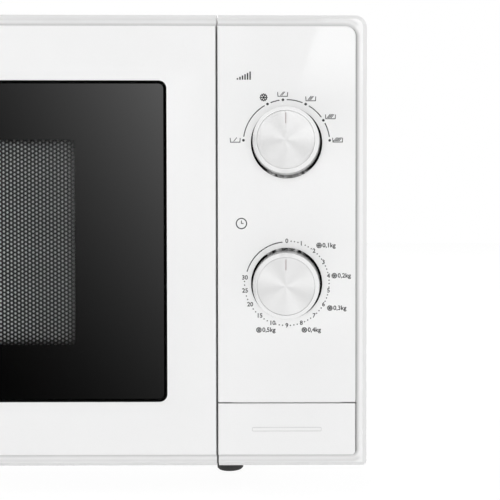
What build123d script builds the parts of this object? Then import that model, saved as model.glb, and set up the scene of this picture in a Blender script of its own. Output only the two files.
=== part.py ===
from build123d import *
import math
import os

# Counter-top microwave oven with two dials and a push-button door, in millimetres.
# X runs to the viewer's right, Y from the front to the back, Z up. The origin lies under the middle
# of the overall box, on the level of the feet.

# Cooking space
cavity_width = 302.0
cavity_height = 198.0
cavity_depth = 290.0
cavity_radius = 10.0        # bend of the wrap at the two roof corners
cavity_left_margin = 21.0   # outside of the door to the left cavity wall
floor_rise = 26.8           # cabinet underside to the cavity floor
roof_rise = 22.5            # cavity roof to the top of the front
rear_gap = 10.0             # cavity back to the rear panel

# Sheet metal
sheet = 0.8
sheet_gap = 0.2
cover_inset = 1.0           # how far the cover stands inside the outline of the front
cover_bend = 6.0
cover_flange = 11.0
plate_flange = 12.0
base_flange = 12.0
foot_height = 13.2
foot_radius = 7.7
foot_chamfer = 0.8
foot_stem = 3.0
foot_front_setback = 14.5   # front plate to the front pair of feet
foot_rear_setback = 38.0
foot_side = 78.5            # outside of the cabinet to the feet
screw_radius = 1.7
screw_head_radius = 3.8
screw_head = 2.2
screw_length = 9.0
screw_clearance = 0.2

# Front mouldings
front_depth = 32.0          # raised face to the front plate
border = 6.4                # raised face to the outer edge, at the sides
border_top = 6.9
border_low = 7.2
step_depth = 3.5
step_cove = 2.8             # hollow round at the foot of the raised face
edge_chamfer = 2.3
corner_radius = 6.6         # upper corners of the outline
corner_radius_low = 2.5
pad_radius = 5.6            # upper corners of the raised face
pad_radius_low = 2.1
edge_round = 0.6
skin = 2.5
wall = 2.5
door_gap = 1.0
door_back_gap = 1.5

# Door
glass_side_margin = 27.4    # raised face to the glass, left and right
glass_top_margin = 30.4
glass_bottom_margin = 30.0
glass_thickness = 3.2
glass_recess = 0.3
glass_radius = 3.5
glass_clearance = 0.9
glass_bevel = 0.5
seal_clearance = 0.05
seal_recess = 0.8           # raised face to the black bead round the glass
ledge_width = 4.0
ledge_thickness = 2.0
choke_gap = 1.0             # cavity opening to the choke channel
choke_width = 12.0
choke_depth = 12.0
choke_slot = 2.4
choke_pitch = 34.0
choke_cover_thickness = 2.0
choke_cover_lap = 3.0
choke_cover_clearance = 0.3
film_thickness = 0.4
post_half = 3.2

# Hinges
hinge_inset = 9.0           # left side of the door to the pins
hinge_setback = 13.0        # front plate to the pins
hinge_swing = 12.5          # radius of the door's round back edge about the pins
tab_half = 5.0
tab_thickness = 2.0
bracket_reach = 26.0
tab_clearance = 0.6
pin_radius = 2.5
pin_length = 4.8
pin_clearance = 0.06
boss_gap = 0.4

# Door latch
latch_offset = 10.0         # choke channel to the middle of the hooks
latch_edge = 11.7           # middle of the hooks to the door's right side
hook_thickness = 5.0
hook_height = 8.0
hook_tooth = 3.0
hook_reach = 17.0
hook_tail = 30.0
hook_spacing = 108.0
hook_rise = 32.0            # cavity floor to the underside of the lower hook
latch_bar = 6.0
latch_lift = 3.9
latch_side_clearance = 0.8
latch_exit_clearance = 3.0
slot_clearance = 0.5
latch_spring_length = 18.0
latch_spring_radius = 2.4
latch_spring_wire = 0.4
latch_spring_turns = 5

# Control panel and its push button
button_height = 28.3
button_gap = 0.7
button_side_gap = 0.4
button_depth = 8.0
button_travel = 5.0
button_wall = 2.0
button_bar_length = 38.0
button_bar_height = 2.4
button_bar_groove = 0.45    # width and depth of the line round the touch bar
button_lip = 1.8
stem_width = 8.0
stem_height = 3.0
stem_gap = 0.3
button_spring_radius = 3.6
button_spring_wire = 0.5
button_spring_turns = 5
button_peg_radius = 2.4
button_peg_length = 10.0
button_spring_inset = 20.0
upper_knob_drop = 63.2      # top of the raised face to the power knob
knob_spacing = 76.1

# Knobs and what they turn
knob_height = 22.0
knob_collar_radius = 19.25
knob_collar = 1.6           # height of the collar at the foot of the skirt
knob_base_radius = 18.3
knob_face_radius = 17.3
knob_rim = 1.7
knob_wall = 2.0
knob_gap = 0.5
cap_radius = 15.2
cap_thickness = 1.0
cap_recess = 0.25
pointer_length = 5.6
pointer_width = 0.6
pointer_depth = 0.35
shaft_radius = 3.0
shaft_flat = 0.8
shaft_clearance = 0.06
shaft_in_knob = 12.0
shaft_in_body = 14.0
knob_hub_radius = 6.0
control_stand = 9.0         # inside of the panel to the timer and selector
bush_radius = 6.0
bush_length = 6.0
bush_hole_clearance = 0.5
timer_size = 56.0
timer_depth = 30.0
bell_radius = 20.0
bell_depth = 8.0
selector_size = 44.0
selector_depth = 22.0
control_post_inset = 5.0

# Release lever and interlock
lever_setback = 9.0         # front plate to the lever pivot
lever_drop = 14.0           # lower hook to the lever pivot
lever_arm = 22.0            # pivot to the point that the button pushes
lever_tip = 18.0            # pivot to the tip under the hook, along the depth
lever_thickness = 4.0
lever_hub = 4.0
lever_pin = 2.0
lever_pin_clearance = 0.08
lever_gap = 0.3
lever_reach = 35.0
bracket_wall = 2.5
bracket_depth = 36.0
bracket_gap = 3.0           # hooks to the bracket wall
bracket_flange = 11.0
bracket_top = 40.0          # upper hook to the top of the bracket
switch_length = 27.8
switch_height = 15.9
switch_width = 10.3

# Turntable
dish_edge = 12.0            # roller track to the rim of the floor's dish
dish_slope = 4.0
dish_depth = 2.0
roller_inset = 16.0         # edge of the plate's flat to the roller track
roller_radius = 7.5
roller_width = 7.0
roller_gap = 0.3
axle_radius = 2.4
axle_clearance = 0.08
ring_inset = 11.0           # roller track to the ring
ring_width = 6.0
ring_height = 5.0
axle_head = 3.0
plate_radius = 122.5
plate_slope = 18.5
plate_thickness = 5.0
plate_rim = 9.0
plate_boss = 4.5
plate_boss_height = 4.0
coupler_radius = 10.0
coupler_wing = 27.0
coupler_wing_width = 8.0
coupler_wing_height = 9.0
coupler_floor_gap = 0.5
turn_shaft_radius = 3.5
turn_shaft_hole = 6.0
turn_shaft_engage = 9.0
motor_radius = 24.0
motor_height = 14.0
motor_ear = 32.0
motor_ear_thickness = 1.5

# Microwave supply
waveguide_depth = 30.0
waveguide_width = 80.0
waveguide_height = 100.0
waveguide_setback = 160.0   # front plate to its middle
waveguide_rise = 78.0       # cavity floor to its lower end
waveguide_flange = 8.0
feed_height = 32.0
feed_margin = 6.0
feed_cover_lap = 10.0
feed_cover_thickness = 0.6
magnetron_drop = 38.0       # top of the waveguide to the magnetron axis
yoke_length = 44.0
yoke_width = 60.0
yoke_height = 80.0
yoke_sheet = 1.5
yoke_ear = 9.0
magnet_radius = 25.0
magnet_bore = 11.0
magnet_thickness = 6.0
anode_radius = 17.0
fin_count = 5
fin_thickness = 0.8
fin_margin = 3.0
antenna_radius = 8.0
antenna_tip_gap = 8.0
antenna_hole = 12.0
filter_length = 30.0
filter_width = 50.0
filter_height = 56.0
filter_sheet = 1.0
cover_clear = 10.4          # filter box to the cover
core_length = 100.0
core_height = 84.0
core_stack = 60.0
core_leg = 18.0
core_base = 2.0
core_base_lap = 8.0
core_setback = 100.0        # front plate to its middle
core_inset = 57.0           # cavity wall to its middle
winding_clearance = 0.6
winding_overhang = 14.0
winding_gap = 6.0
capacitor_width = 52.0
capacitor_height = 33.0
capacitor_length = 90.0
capacitor_gap = 19.0        # transformer to the capacitor's terminals end
capacitor_inset = 62.0
terminal_width = 6.3
terminal_length = 9.0
strap_width = 14.0
strap_thickness = 1.0
strap_foot = 12.0
diode_radius = 3.2
diode_length = 22.0
diode_inset = 18.0
diode_lead = 10.0
diode_lug = 4.5

# Fan, lamp and small electrics
fan_screw_gap = 0.8
fan_setback = 54.0          # rear panel to the front of the housing
fan_rise = 132.0            # cavity floor to the fan axis
fan_wall = 2.5
fan_tip_gap = 2.0
fan_hub = 10.0
fan_hub_length = 18.0
fan_chord = 30.0
fan_blade_thickness = 1.6
fan_root_pitch = 42.0
fan_tip_pitch = 24.0
fan_blade_count = 5
fan_plate_gap = 6.0
fan_arm_width = 6.0
fan_arm_thickness = 3.0
fan_motor_gap = 3.0
fan_motor_size = 46.0
fan_motor_depth = 17.0
fan_bridge = 1.5
fan_rotor = 10.5
fan_rotor_gap = 0.5
fan_shaft_radius = 2.0
fan_shaft_clearance = 0.06
coil_height = 16.0
coil_overhang = 4.0
lamp_setback = 52.0
lamp_drop = 36.0
lamp_size = 24.0
lamp_depth = 18.0
bulb_radius = 7.0
cutout_radius = 8.0
cutout_height = 9.0
board_length = 46.0
board_width = 80.0
board_thickness = 1.6
board_stand = 4.0
board_film = (16.0, 24.0, 11.0)
board_choke_radius = 10.0
board_choke_bore = 4.0
board_choke_height = 9.0
board_fuse_length = 24.0
board_fuse_radius = 3.0
gland_rise = 46.0           # cabinet underside to the cord inlet
gland_inset = 50.0          # right side to the cord inlet
gland_bore = 4.0
gland_neck = 7.0
gland_flange = 10.0
gland_front = 8.5
gland_flange_thickness = 2.4
gland_inner_length = 11.0
gland_clearance = 0.15
rear_slot_length = 24.0
rear_slot_width = 3.6
rear_slot_pitch = 8.0
side_slot_length = 22.0
side_slot_width = 3.4
side_slot_pitch = 9.0
side_slot_count = 6

# Places worked out from the sizes above
electrics_width = waveguide_depth + yoke_length + filter_length + cover_clear
width = cavity_left_margin + cavity_width + sheet + electrics_width + sheet + cover_inset
front_height = floor_rise + cavity_height + roof_rise
cabinet_depth = cavity_depth + rear_gap
rear_relief = sheet + screw_head
overall_depth = knob_height + front_depth + cabinet_depth + rear_relief

x_right = width / 2
x_left = -x_right
z_base = foot_height
z_top = z_base + front_height
y_face = knob_height - overall_depth / 2
y_step = y_face + step_depth
y_plate = y_face + front_depth
y_inside = y_plate + sheet
y_rear = y_plate + cabinet_depth
y_door_back = y_plate - door_back_gap

cavity_x = (x_left + cavity_left_margin, x_left + cavity_left_margin + cavity_width)
cavity_z = (z_base + floor_rise, z_base + floor_rise + cavity_height)
cavity_y = (y_inside, y_plate + cavity_depth)
cover_out = x_right - cover_inset
cover_in = cover_out - sheet
cover_top = z_top - cover_inset
body_half = cover_in - sheet_gap
body_top = cover_top - sheet - sheet_gap
body_bend = cover_bend - sheet - sheet_gap
base_top = z_base + sheet
electrics_x = cavity_x[1] + sheet

choke_inner_x = (cavity_x[0] - choke_gap, cavity_x[1] + choke_gap)
choke_inner_z = (cavity_z[0] - choke_gap, cavity_z[1] + choke_gap)
choke_outer_x = (choke_inner_x[0] - choke_width, choke_inner_x[1] + choke_width)
choke_outer_z = (choke_inner_z[0] - choke_width, choke_inner_z[1] + choke_width)
y_choke_cover = y_door_back - choke_cover_thickness
y_choke = y_choke_cover - choke_depth
y_screen = y_choke_cover - film_thickness

latch_x = choke_outer_x[1] + latch_offset
door_x = (x_left, latch_x + latch_edge)
panel_x = (door_x[1] + door_gap, x_right)
pad_z = (z_base + border_low, z_top - border_top)
door_pad_x = (door_x[0] + border, door_x[1])
panel_pad_x = (panel_x[0], panel_x[1] - border)
glass_x = (door_pad_x[0] + glass_side_margin, door_pad_x[1] - glass_side_margin)
glass_z = (pad_z[0] + glass_bottom_margin, pad_z[1] - glass_top_margin)
y_glass = (y_face + glass_recess, y_face + glass_recess + glass_thickness)

hinge_x = x_left + hinge_inset
hinge_y = y_plate - hinge_setback
upper_tab_low = z_top - wall - pin_length - 0.9 + boss_gap
upper_tab_z = (upper_tab_low, upper_tab_low + tab_thickness)
lower_tab_z = (z_base + wall + tab_clearance, z_base + wall + tab_clearance + tab_thickness)

hook_z = (cavity_z[0] + hook_rise, cavity_z[0] + hook_rise + hook_spacing)
latch_bar_y = (y_choke, y_choke + latch_bar)
latch_bar_z = (hook_z[0] - hook_height, hook_z[1] + 2 * hook_height)
latch_post_z = latch_bar_z[0] - latch_spring_length - post_half

button_z = (pad_z[0], pad_z[0] + button_height)
button_mid_z = (button_z[0] + button_z[1]) / 2
panel_mid_x = (panel_pad_x[0] + panel_pad_x[1]) / 2
spring_x = panel_pad_x[1] - button_spring_inset
power_z = pad_z[1] - upper_knob_drop
timer_z = power_z - knob_spacing
y_control = y_face + skin + control_stand

lever_y = y_plate + lever_setback
lever_z = hook_z[0] - lever_drop
push_z = lever_z - lever_arm
lever_x = (latch_x - lever_hub, latch_x + hook_thickness / 2 + bracket_gap - lever_gap)
stem_x = panel_x[0] + stem_width + 3.0
bracket_x = latch_x + hook_thickness / 2 + bracket_gap

turn_x = (cavity_x[0] + cavity_x[1]) / 2
turn_y = y_plate + cavity_depth / 2
plate_flat = plate_radius - plate_slope
roller_track = plate_flat - roller_inset
ring_radius = roller_track - ring_inset
dish_radius = roller_track + dish_edge
dish_z = cavity_z[0] - dish_depth
roller_z = dish_z + roller_gap + roller_radius
plate_z = roller_z + roller_radius + roller_gap
motor_z = (dish_z - sheet - motor_height, dish_z - sheet)

waveguide_mid_y = y_plate + waveguide_setback
waveguide_y = (waveguide_mid_y - waveguide_width / 2, waveguide_mid_y + waveguide_width / 2)
waveguide_z = (cavity_z[0] + waveguide_rise, cavity_z[0] + waveguide_rise + waveguide_height)
feed_y = (waveguide_y[0] + feed_margin, waveguide_y[1] - feed_margin)
feed_z = (waveguide_z[0] + feed_margin, waveguide_z[0] + feed_margin + feed_height)
magnetron_x = electrics_x + waveguide_depth
magnetron_y = y_plate + waveguide_setback
magnetron_z = waveguide_z[1] - magnetron_drop
core_x = electrics_x + core_inset
core_y = y_plate + core_setback
capacitor_x = electrics_x + capacitor_inset
capacitor_front = core_y + core_length / 2 + capacitor_gap
capacitor_y = (capacitor_front, capacitor_front + capacitor_length)
fan_x = (electrics_x + cover_in) / 2
fan_size = cover_in - electrics_x - 2 * (cover_flange / 2 + screw_radius + fan_screw_gap)
fan_duct = fan_size / 2 - 2 * fan_wall
fan_reach = math.sqrt((fan_duct - fan_tip_gap) ** 2 - (fan_chord / 2) ** 2)
fan_z = cavity_z[0] + fan_rise
y_fan = (y_rear - sheet - fan_setback, y_rear - sheet)
y_fan_blade = (y_fan[0] + fan_plate_gap, y_fan[0] + fan_plate_gap + fan_hub_length)
y_fan_motor = y_fan_blade[1] + fan_motor_gap + fan_arm_thickness
gland_x = x_right - gland_inset
gland_z = z_base + gland_rise

feet_x = (x_left + foot_side, x_right - foot_side)
feet_y = (y_plate + foot_front_setback, y_rear - foot_rear_setback)
flange_mid = cover_in - cover_flange / 2
screw_places = [(side * flange_mid, z_base + front_height * share) for side in (-1, 1) for share in (0.12, 0.9)]


# Shapes used all through

def block(x, y, z):
    middle = Pos((x[0] + x[1]) / 2, (y[0] + y[1]) / 2, (z[0] + z[1]) / 2)
    return middle * Box(x[1] - x[0], y[1] - y[0], z[1] - z[0])


def panel(a, b, radius=0.0):
    shape = RectangleRounded(a[1] - a[0], b[1] - b[0], radius) if radius else Rectangle(a[1] - a[0], b[1] - b[0])
    return Pos((a[0] + a[1]) / 2, (b[0] + b[1]) / 2) * shape


def top_rounded(a, b, radius):
    corners = panel(a, b).vertices().sort_by(Axis.Y)
    return fillet(corners[2:], radius)


def front_outline(x, z, top_radius, low_radius, side):
    # Rectangle whose two corners on one side are rounded, the upper and the lower one each in its own way.
    outline = panel(x, z)
    edge = x[0] if side == "left" else x[1]
    for height, radius in ((z[0], low_radius), (z[1], top_radius)):
        corner = outline.vertices().sort_by_distance((edge, height))[0]
        outline = fillet([corner], radius)
    return outline


def from_front(sketch, y):
    return extrude(Plane.XZ.offset(-y[1]) * sketch, y[1] - y[0])


def from_side(sketch, x):
    return extrude(Plane.YZ.offset(x[0]) * sketch, x[1] - x[0])


def from_above(sketch, z):
    return extrude(Plane.XY.offset(z[0]) * sketch, z[1] - z[0])


def rod_x(y, z, x, radius):
    return from_side(Pos(y, z) * Circle(radius), x)


def rod_y(x, z, y, radius):
    return from_front(Pos(x, z) * Circle(radius), y)


def rod_z(x, y, z, radius):
    return from_above(Pos(x, y) * Circle(radius), z)


def about(middle, half):
    return (middle - half, middle + half)


def wider(span, by):
    return (span[0] - by, span[1] + by)


def turned(points):
    return revolve(make_face(Polyline(*points, close=True)), Axis.Z)


def spring(radius, wire, turns, length):
    # Square wire, eight straight runs to a turn.
    runs = 8 * turns
    points = []
    for k in range(runs + 1):
        angle = math.pi * k / 4
        points.append((radius * math.cos(angle), radius * math.sin(angle), length * k / runs))
    path = Polyline(*points)
    start = Plane(origin=path @ 0, x_dir=(1, 0, 0), z_dir=path % 0)
    return sweep(start * Rectangle(2 * wire, 2 * wire), path=path, transition=Transition.RIGHT)


# Cabinet

def outer_cover():
    # Roof and both sides are one bent sheet, with a flange folded in over the rear panel.
    outside = top_rounded((-cover_out, cover_out), (z_base, cover_top), cover_bend)
    inside = top_rounded((-cover_in, cover_in), (z_base - sheet, cover_top - sheet), cover_bend - sheet)
    hole_half = cover_in - cover_flange
    rear_hole = panel((-hole_half, hole_half), (z_base - sheet, cover_top - sheet - cover_flange))
    cover = from_front(outside - inside, (y_plate, y_rear + sheet))
    cover += from_front(outside - rear_hole, (y_rear, y_rear + sheet))
    for x, z in screw_places:
        cover -= rod_y(x, z, wider((y_rear, y_rear + sheet), sheet), screw_radius + screw_clearance)
    slot = Rectangle(side_slot_width, side_slot_length)
    row = [Pos(y_plate + cabinet_depth / 2 + side_slot_pitch * k, 0) * slot for k in range(side_slot_count)]
    for z in (cavity_z[1] - side_slot_length, cavity_z[1] - 2.5 * side_slot_length):
        cover -= from_side(Pos(0, z) * Sketch(children=row), (-x_right, x_right))
    return cover


def base_plate():
    base = from_above(panel((-body_half, body_half), (y_plate, y_rear)), (z_base, base_top))
    flange_y = (y_plate + plate_flange + sheet_gap, y_rear - sheet - sheet_gap)
    for side in (-1, 1):
        x = sorted((side * body_half, side * (body_half - sheet)))
        base += block(x, flange_y, (z_base, z_base + base_flange))
    for x in feet_x:
        for y in feet_y:
            base -= rod_z(x, y, wider((z_base, base_top), sheet), foot_stem + screw_clearance)
    # Access hole under the turntable motor.
    base -= rod_z(turn_x, turn_y, wider((z_base, base_top), sheet), motor_ear)
    vent = Rectangle(side_slot_length, side_slot_width)
    vents = [Pos(core_x - core_stack / 2, y_fan[0] - side_slot_pitch * (k + 1)) * vent for k in range(3)]
    return base - from_above(Sketch(children=vents), wider((z_base, base_top), sheet))


def rear_panel():
    outline = top_rounded((-body_half, body_half), (base_top, body_top), body_bend)
    sheet_y = (y_rear - sheet, y_rear)
    rear = from_front(outline, sheet_y)
    cuts = [Pos(gland_x, gland_z) * Circle(gland_neck + gland_clearance)]
    cuts += [Pos(x, z) * Circle(screw_radius + screw_clearance) for x, z in screw_places]
    slot = Rectangle(rear_slot_width, rear_slot_length)
    for row in (-1, 0, 1):
        for column in range(-2, 3):
            place = Pos(fan_x + column * rear_slot_pitch * 1.9, fan_z + row * rear_slot_length * 1.15)
            cuts.append(place * slot)
    for column in range(6):
        cuts.append(Pos(turn_x + (column - 2.5) * rear_slot_pitch, cavity_z[1] - rear_slot_length) * slot)
    return rear - from_front(Sketch(children=cuts), wider(sheet_y, sheet))


def front_plate():
    outline = top_rounded((-body_half, body_half), (base_top, body_top), body_bend)
    inner_half = body_half - sheet
    inner = top_rounded((-inner_half, inner_half), (base_top - sheet, body_top - sheet), body_bend - sheet)
    plate = from_front(outline, (y_plate, y_inside))
    plate += from_front(outline - inner, (y_plate, y_plate + plate_flange))
    through = wider((y_plate, y_inside), sheet)
    plate -= from_front(top_rounded(cavity_x, cavity_z, cavity_radius), through)
    # Openings behind the panel for the two controls, and for the push-button stem.
    for z, size in ((power_z, selector_size), (timer_z, timer_size)):
        plate -= from_front(panel(about(panel_mid_x, size / 2 + 2), about(z, size / 2 + 2), 3), through)
    plate -= from_front(panel(about(stem_x, stem_width / 2 + 1), (push_z - stem_height - 1, push_z + 1)), through)
    for z in hook_z:
        plate -= from_front(hook_slot(z), through)
    for tab in (upper_tab_z, lower_tab_z):
        plate -= from_front(panel(about(hinge_x, tab_half + sheet_gap), wider(tab, sheet_gap)), through)
    return plate


def hook_slot(z):
    x = (latch_x - hook_thickness / 2 - latch_side_clearance, latch_x + hook_thickness / 2 + latch_exit_clearance)
    return panel(x, (z - slot_clearance, z + hook_height + latch_lift + slot_clearance))


def feet():
    profile = [(0, 0), (foot_radius - foot_chamfer, 0), (foot_radius, foot_chamfer), (foot_radius, foot_height),
               (foot_stem, foot_height), (foot_stem, foot_height + 3 * sheet), (0, foot_height + 3 * sheet)]
    foot = turned([(r, 0, z) for r, z in profile])
    return Compound(children=[Pos(x, y, 0) * foot for x in feet_x for y in feet_y])


def cover_screws():
    y = y_rear + sheet
    screws = []
    for x, z in screw_places:
        head = rod_y(x, z, (y, y + screw_head), screw_head_radius)
        screws.append(head + rod_y(x, z, (y - screw_length, y), screw_radius))
    return Compound(children=screws)


def cord_gland():
    # Bush with a neck that the rear panel grips, a flange outside and a collar inside.
    y = (y_rear - sheet - gland_clearance, y_rear)
    gland = rod_y(gland_x, gland_z, y, gland_neck)
    gland += rod_y(gland_x, gland_z, (y[1], y[1] + gland_flange_thickness), gland_flange)
    gland += rod_y(gland_x, gland_z, (y_rear - gland_inner_length, y[0]), gland_front)
    through = (y_rear - gland_inner_length, y_rear + gland_flange_thickness)
    return gland - rod_y(gland_x, gland_z, through, gland_bore)


# Cooking space

def cavity_wrap():
    outside = top_rounded(wider(cavity_x, sheet), (cavity_z[0] - sheet, cavity_z[1] + sheet), cavity_radius + sheet)
    inside = top_rounded(cavity_x, (cavity_z[0] - 2 * sheet, cavity_z[1]), cavity_radius)
    wrap = from_front(outside - inside, cavity_y)
    return wrap - from_side(panel(feed_y, feed_z, 3), wider((cavity_x[1], electrics_x), sheet))


def cavity_floor():
    floor = from_above(panel(cavity_x, cavity_y), (cavity_z[0] - sheet, cavity_z[0]))
    lap = dish_radius + sheet
    floor -= rod_z(turn_x, turn_y, wider((cavity_z[0] - sheet, cavity_z[0]), sheet), lap)
    top = [(turn_shaft_hole, dish_z), (dish_radius - dish_slope, dish_z),
           (dish_radius, cavity_z[0]), (lap, cavity_z[0])]
    below = [(r, z - sheet) for r, z in reversed(top)]
    return floor + Pos(turn_x, turn_y, 0) * turned([(r, 0, z) for r, z in top + below])


def cavity_back():
    outline = top_rounded(wider(cavity_x, sheet), (cavity_z[0] - sheet, cavity_z[1] + sheet), cavity_radius + sheet)
    back_y = (cavity_y[1], cavity_y[1] + sheet)
    return from_front(outline, back_y)


def waveguide():
    x = (electrics_x, electrics_x + waveguide_depth)
    guide = block(x, waveguide_y, waveguide_z)
    guide += block((x[0], x[0] + sheet), wider(waveguide_y, waveguide_flange), wider(waveguide_z, waveguide_flange))
    guide -= block((x[0], x[1] - sheet), wider(waveguide_y, -sheet), wider(waveguide_z, -sheet))
    return guide - rod_x(magnetron_y, magnetron_z, wider(x, 1), antenna_hole)


def waveguide_cover():
    outline = panel(wider(feed_y, feed_cover_lap), wider(feed_z, feed_cover_lap), 5)
    return from_side(outline, (cavity_x[1] - feed_cover_thickness, cavity_x[1]))


# Microwave supply

def magnetron_yoke():
    x = (magnetron_x, magnetron_x + yoke_length)
    y = about(magnetron_y, yoke_width / 2)
    z = about(magnetron_z, yoke_height / 2)
    yoke = block(x, y, z) - block(wider(x, -yoke_sheet), wider(y, 1), wider(z, -yoke_sheet))
    yoke += block((x[0], x[0] + yoke_sheet), y, (z[0] - yoke_ear, z[1] + yoke_ear))
    return yoke - rod_x(magnetron_y, magnetron_z, wider(x, 1), magnet_bore)


def magnetron_magnets():
    near = magnetron_x + yoke_sheet
    far = magnetron_x + yoke_length - yoke_sheet
    rings = []
    for x in ((near, near + magnet_thickness), (far - magnet_thickness, far)):
        ring = rod_x(magnetron_y, magnetron_z, x, magnet_radius)
        rings.append(ring - rod_x(magnetron_y, magnetron_z, x, magnet_bore))
    return Compound(children=rings)


def magnetron_core():
    x0 = magnetron_x + yoke_sheet + magnet_thickness
    x1 = magnetron_x + yoke_length - yoke_sheet - magnet_thickness
    core = from_side(Pos(magnetron_y, magnetron_z) * RegularPolygon(anode_radius, 12), (x0, x1))
    pitch = (x1 - x0) / fin_count
    fin = panel(about(magnetron_y, yoke_width / 2), about(magnetron_z, yoke_height / 2 - fin_margin))
    for k in range(fin_count):
        x = x0 + pitch * (k + 0.5)
        core += from_side(fin, about(x, fin_thickness / 2))
    return core


def magnetron_antenna():
    tip = electrics_x + antenna_tip_gap
    foot = magnetron_x + yoke_sheet + magnet_thickness
    antenna = rod_x(magnetron_y, magnetron_z, (tip, foot), antenna_radius)
    return chamfer(antenna.edges().sort_by(Axis.X)[0], antenna_radius * 0.5)


def magnetron_filter_box():
    x = (magnetron_x + yoke_length, magnetron_x + yoke_length + filter_length)
    y = about(magnetron_y, filter_width / 2)
    z = about(magnetron_z, filter_height / 2)
    box = block(x, y, z) - block((x[0], x[1] - filter_sheet), wider(y, -filter_sheet), wider(z, -filter_sheet))
    for side in (-1, 1):
        spot = magnetron_y + side * terminal_width
        blade_x = about((x[0] + x[1]) / 2, filter_sheet / 2)
        blade_z = (z[0] - terminal_length, z[0] + filter_sheet)
        box += block(blade_x, about(spot, terminal_width / 2), blade_z)
    return box


def transformer_core():
    # Laminated core of one centre leg and two outer legs along the depth, welded to a base.
    z0 = base_top + core_base
    x = about(core_x, core_stack / 2)
    y = about(core_y, core_length / 2)
    core = block(x, y, (z0, z0 + core_height))
    core += block(wider(x, core_base_lap), y, (base_top, z0))
    for z in core_windows():
        core -= block(wider(x, 1), wider(y, -core_leg), z)
    return core


def core_windows():
    z0 = base_top + core_base
    middle = z0 + core_height / 2
    return ((z0 + core_leg, middle - core_leg), (middle + core_leg, z0 + core_height - core_leg))


def transformer_windings():
    lower, upper = core_windows()
    hole_z = wider((lower[1], upper[0]), winding_clearance)
    outer_z = (lower[0] + winding_clearance, upper[1] - winding_clearance)
    hole_x = about(core_x, core_stack / 2 + winding_clearance)
    outer_x = wider(hole_x, winding_overhang)
    y0 = core_y - core_length / 2 + core_leg + winding_clearance
    y1 = core_y + core_length / 2 - core_leg - winding_clearance
    middle = (y0 + y1) / 2
    ring = panel(outer_x, outer_z) - panel(hole_x, hole_z)
    spans = ((y0, middle - winding_gap / 2), (middle + winding_gap / 2, y1))
    return Compound(children=[from_front(ring, span) for span in spans])


def capacitor_outline(extra):
    middle_z = base_top + strap_thickness + capacitor_height / 2
    return Pos(capacitor_x, middle_z) * SlotOverall(capacitor_width + 2 * extra, capacitor_height + 2 * extra)


def hv_capacitor():
    can = from_front(capacitor_outline(0), capacitor_y)
    for side in (-1, 1):
        x = capacitor_x + side * terminal_width * 1.6
        y = (capacitor_y[0] - terminal_length, capacitor_y[0] + 1)
        can += block(about(x, terminal_width / 2), y, about(base_top + strap_thickness + capacitor_height / 2, 0.4))
    return can


def capacitor_clamp():
    y = about((capacitor_y[0] + capacitor_y[1]) / 2, strap_width / 2)
    strap = from_front(capacitor_outline(strap_thickness) - capacitor_outline(0), y)
    foot_x = about(capacitor_x, capacitor_width / 2 + strap_foot)
    strap += block((foot_x[0], capacitor_x), y, (base_top, base_top + strap_thickness))
    return strap


def hv_diode():
    x = electrics_x + diode_inset
    z = base_top + diode_radius
    diode = rod_y(x, z, (capacitor_y[0], capacitor_y[0] + diode_length), diode_radius)
    lug = rod_z(x, capacitor_y[0] - diode_lead, (base_top, base_top + sheet), diode_lug)
    lead_y = (capacitor_y[0] - diode_lead, capacitor_y[0] + 1)
    lug += block(about(x, diode_lug / 3), lead_y, (base_top, base_top + sheet))
    return diode + lug


# Fan, lamp and small electrics

def fan_housing():
    outside = panel(about(fan_x, fan_size / 2), about(fan_z, fan_size / 2), 8)
    inside = panel(about(fan_x, fan_size / 2 - fan_wall), about(fan_z, fan_size / 2 - fan_wall), 8 - fan_wall)
    bore = Pos(fan_x, fan_z) * Circle(fan_duct)
    housing = from_front(outside - inside, y_fan) + from_front(outside - bore, (y_fan[0], y_fan[0] + fan_wall))
    arm_y = (y_fan_blade[1] + fan_motor_gap, y_fan_motor)
    reach = fan_size / 2 - fan_wall / 2
    for x, z in ((reach, fan_arm_width / 2), (fan_arm_width / 2, reach)):
        housing += from_front(panel(about(fan_x, x), about(fan_z, z)), arm_y)
    housing -= rod_y(fan_x, fan_z, wider(arm_y, 1), fan_shaft_radius * 2)
    for x in about(fan_x, board_width / 2 - 5):
        for y in about((y_fan[0] + y_fan[1]) / 2, board_length / 2 - 5):
            housing += block(about(x, 3), about(y, 3), (fan_z + fan_size / 2, fan_z + fan_size / 2 + board_stand))
    return housing


def fan_motor():
    half = fan_motor_size / 2
    stack_y = (y_fan_motor + fan_bridge, y_fan_motor + fan_motor_depth)
    motor = from_front(panel(about(fan_x, half), about(fan_z, half)), stack_y)
    motor -= rod_y(fan_x, fan_z, stack_y, fan_rotor + fan_rotor_gap)
    motor += from_front(panel(about(fan_x, half), about(fan_z, fan_rotor)), (y_fan_motor, stack_y[0]))
    motor -= rod_y(fan_x, fan_z, (y_fan_motor - 1, stack_y[0]), fan_shaft_radius + fan_shaft_clearance)
    coil_z = (fan_z - half - coil_height, fan_z - half)
    coil_y = (stack_y[0] - fan_bridge, stack_y[1] + coil_overhang)
    motor += block(about(fan_x, half * 0.7), coil_y, coil_z)
    return motor


def fan_shaft():
    rotor_y = (y_fan_motor + fan_bridge + fan_rotor_gap, y_fan_motor + fan_motor_depth)
    shaft = rod_y(fan_x, fan_z, (y_fan_blade[0], rotor_y[0]), fan_shaft_radius)
    return shaft + rod_y(fan_x, fan_z, rotor_y, fan_rotor)


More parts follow.
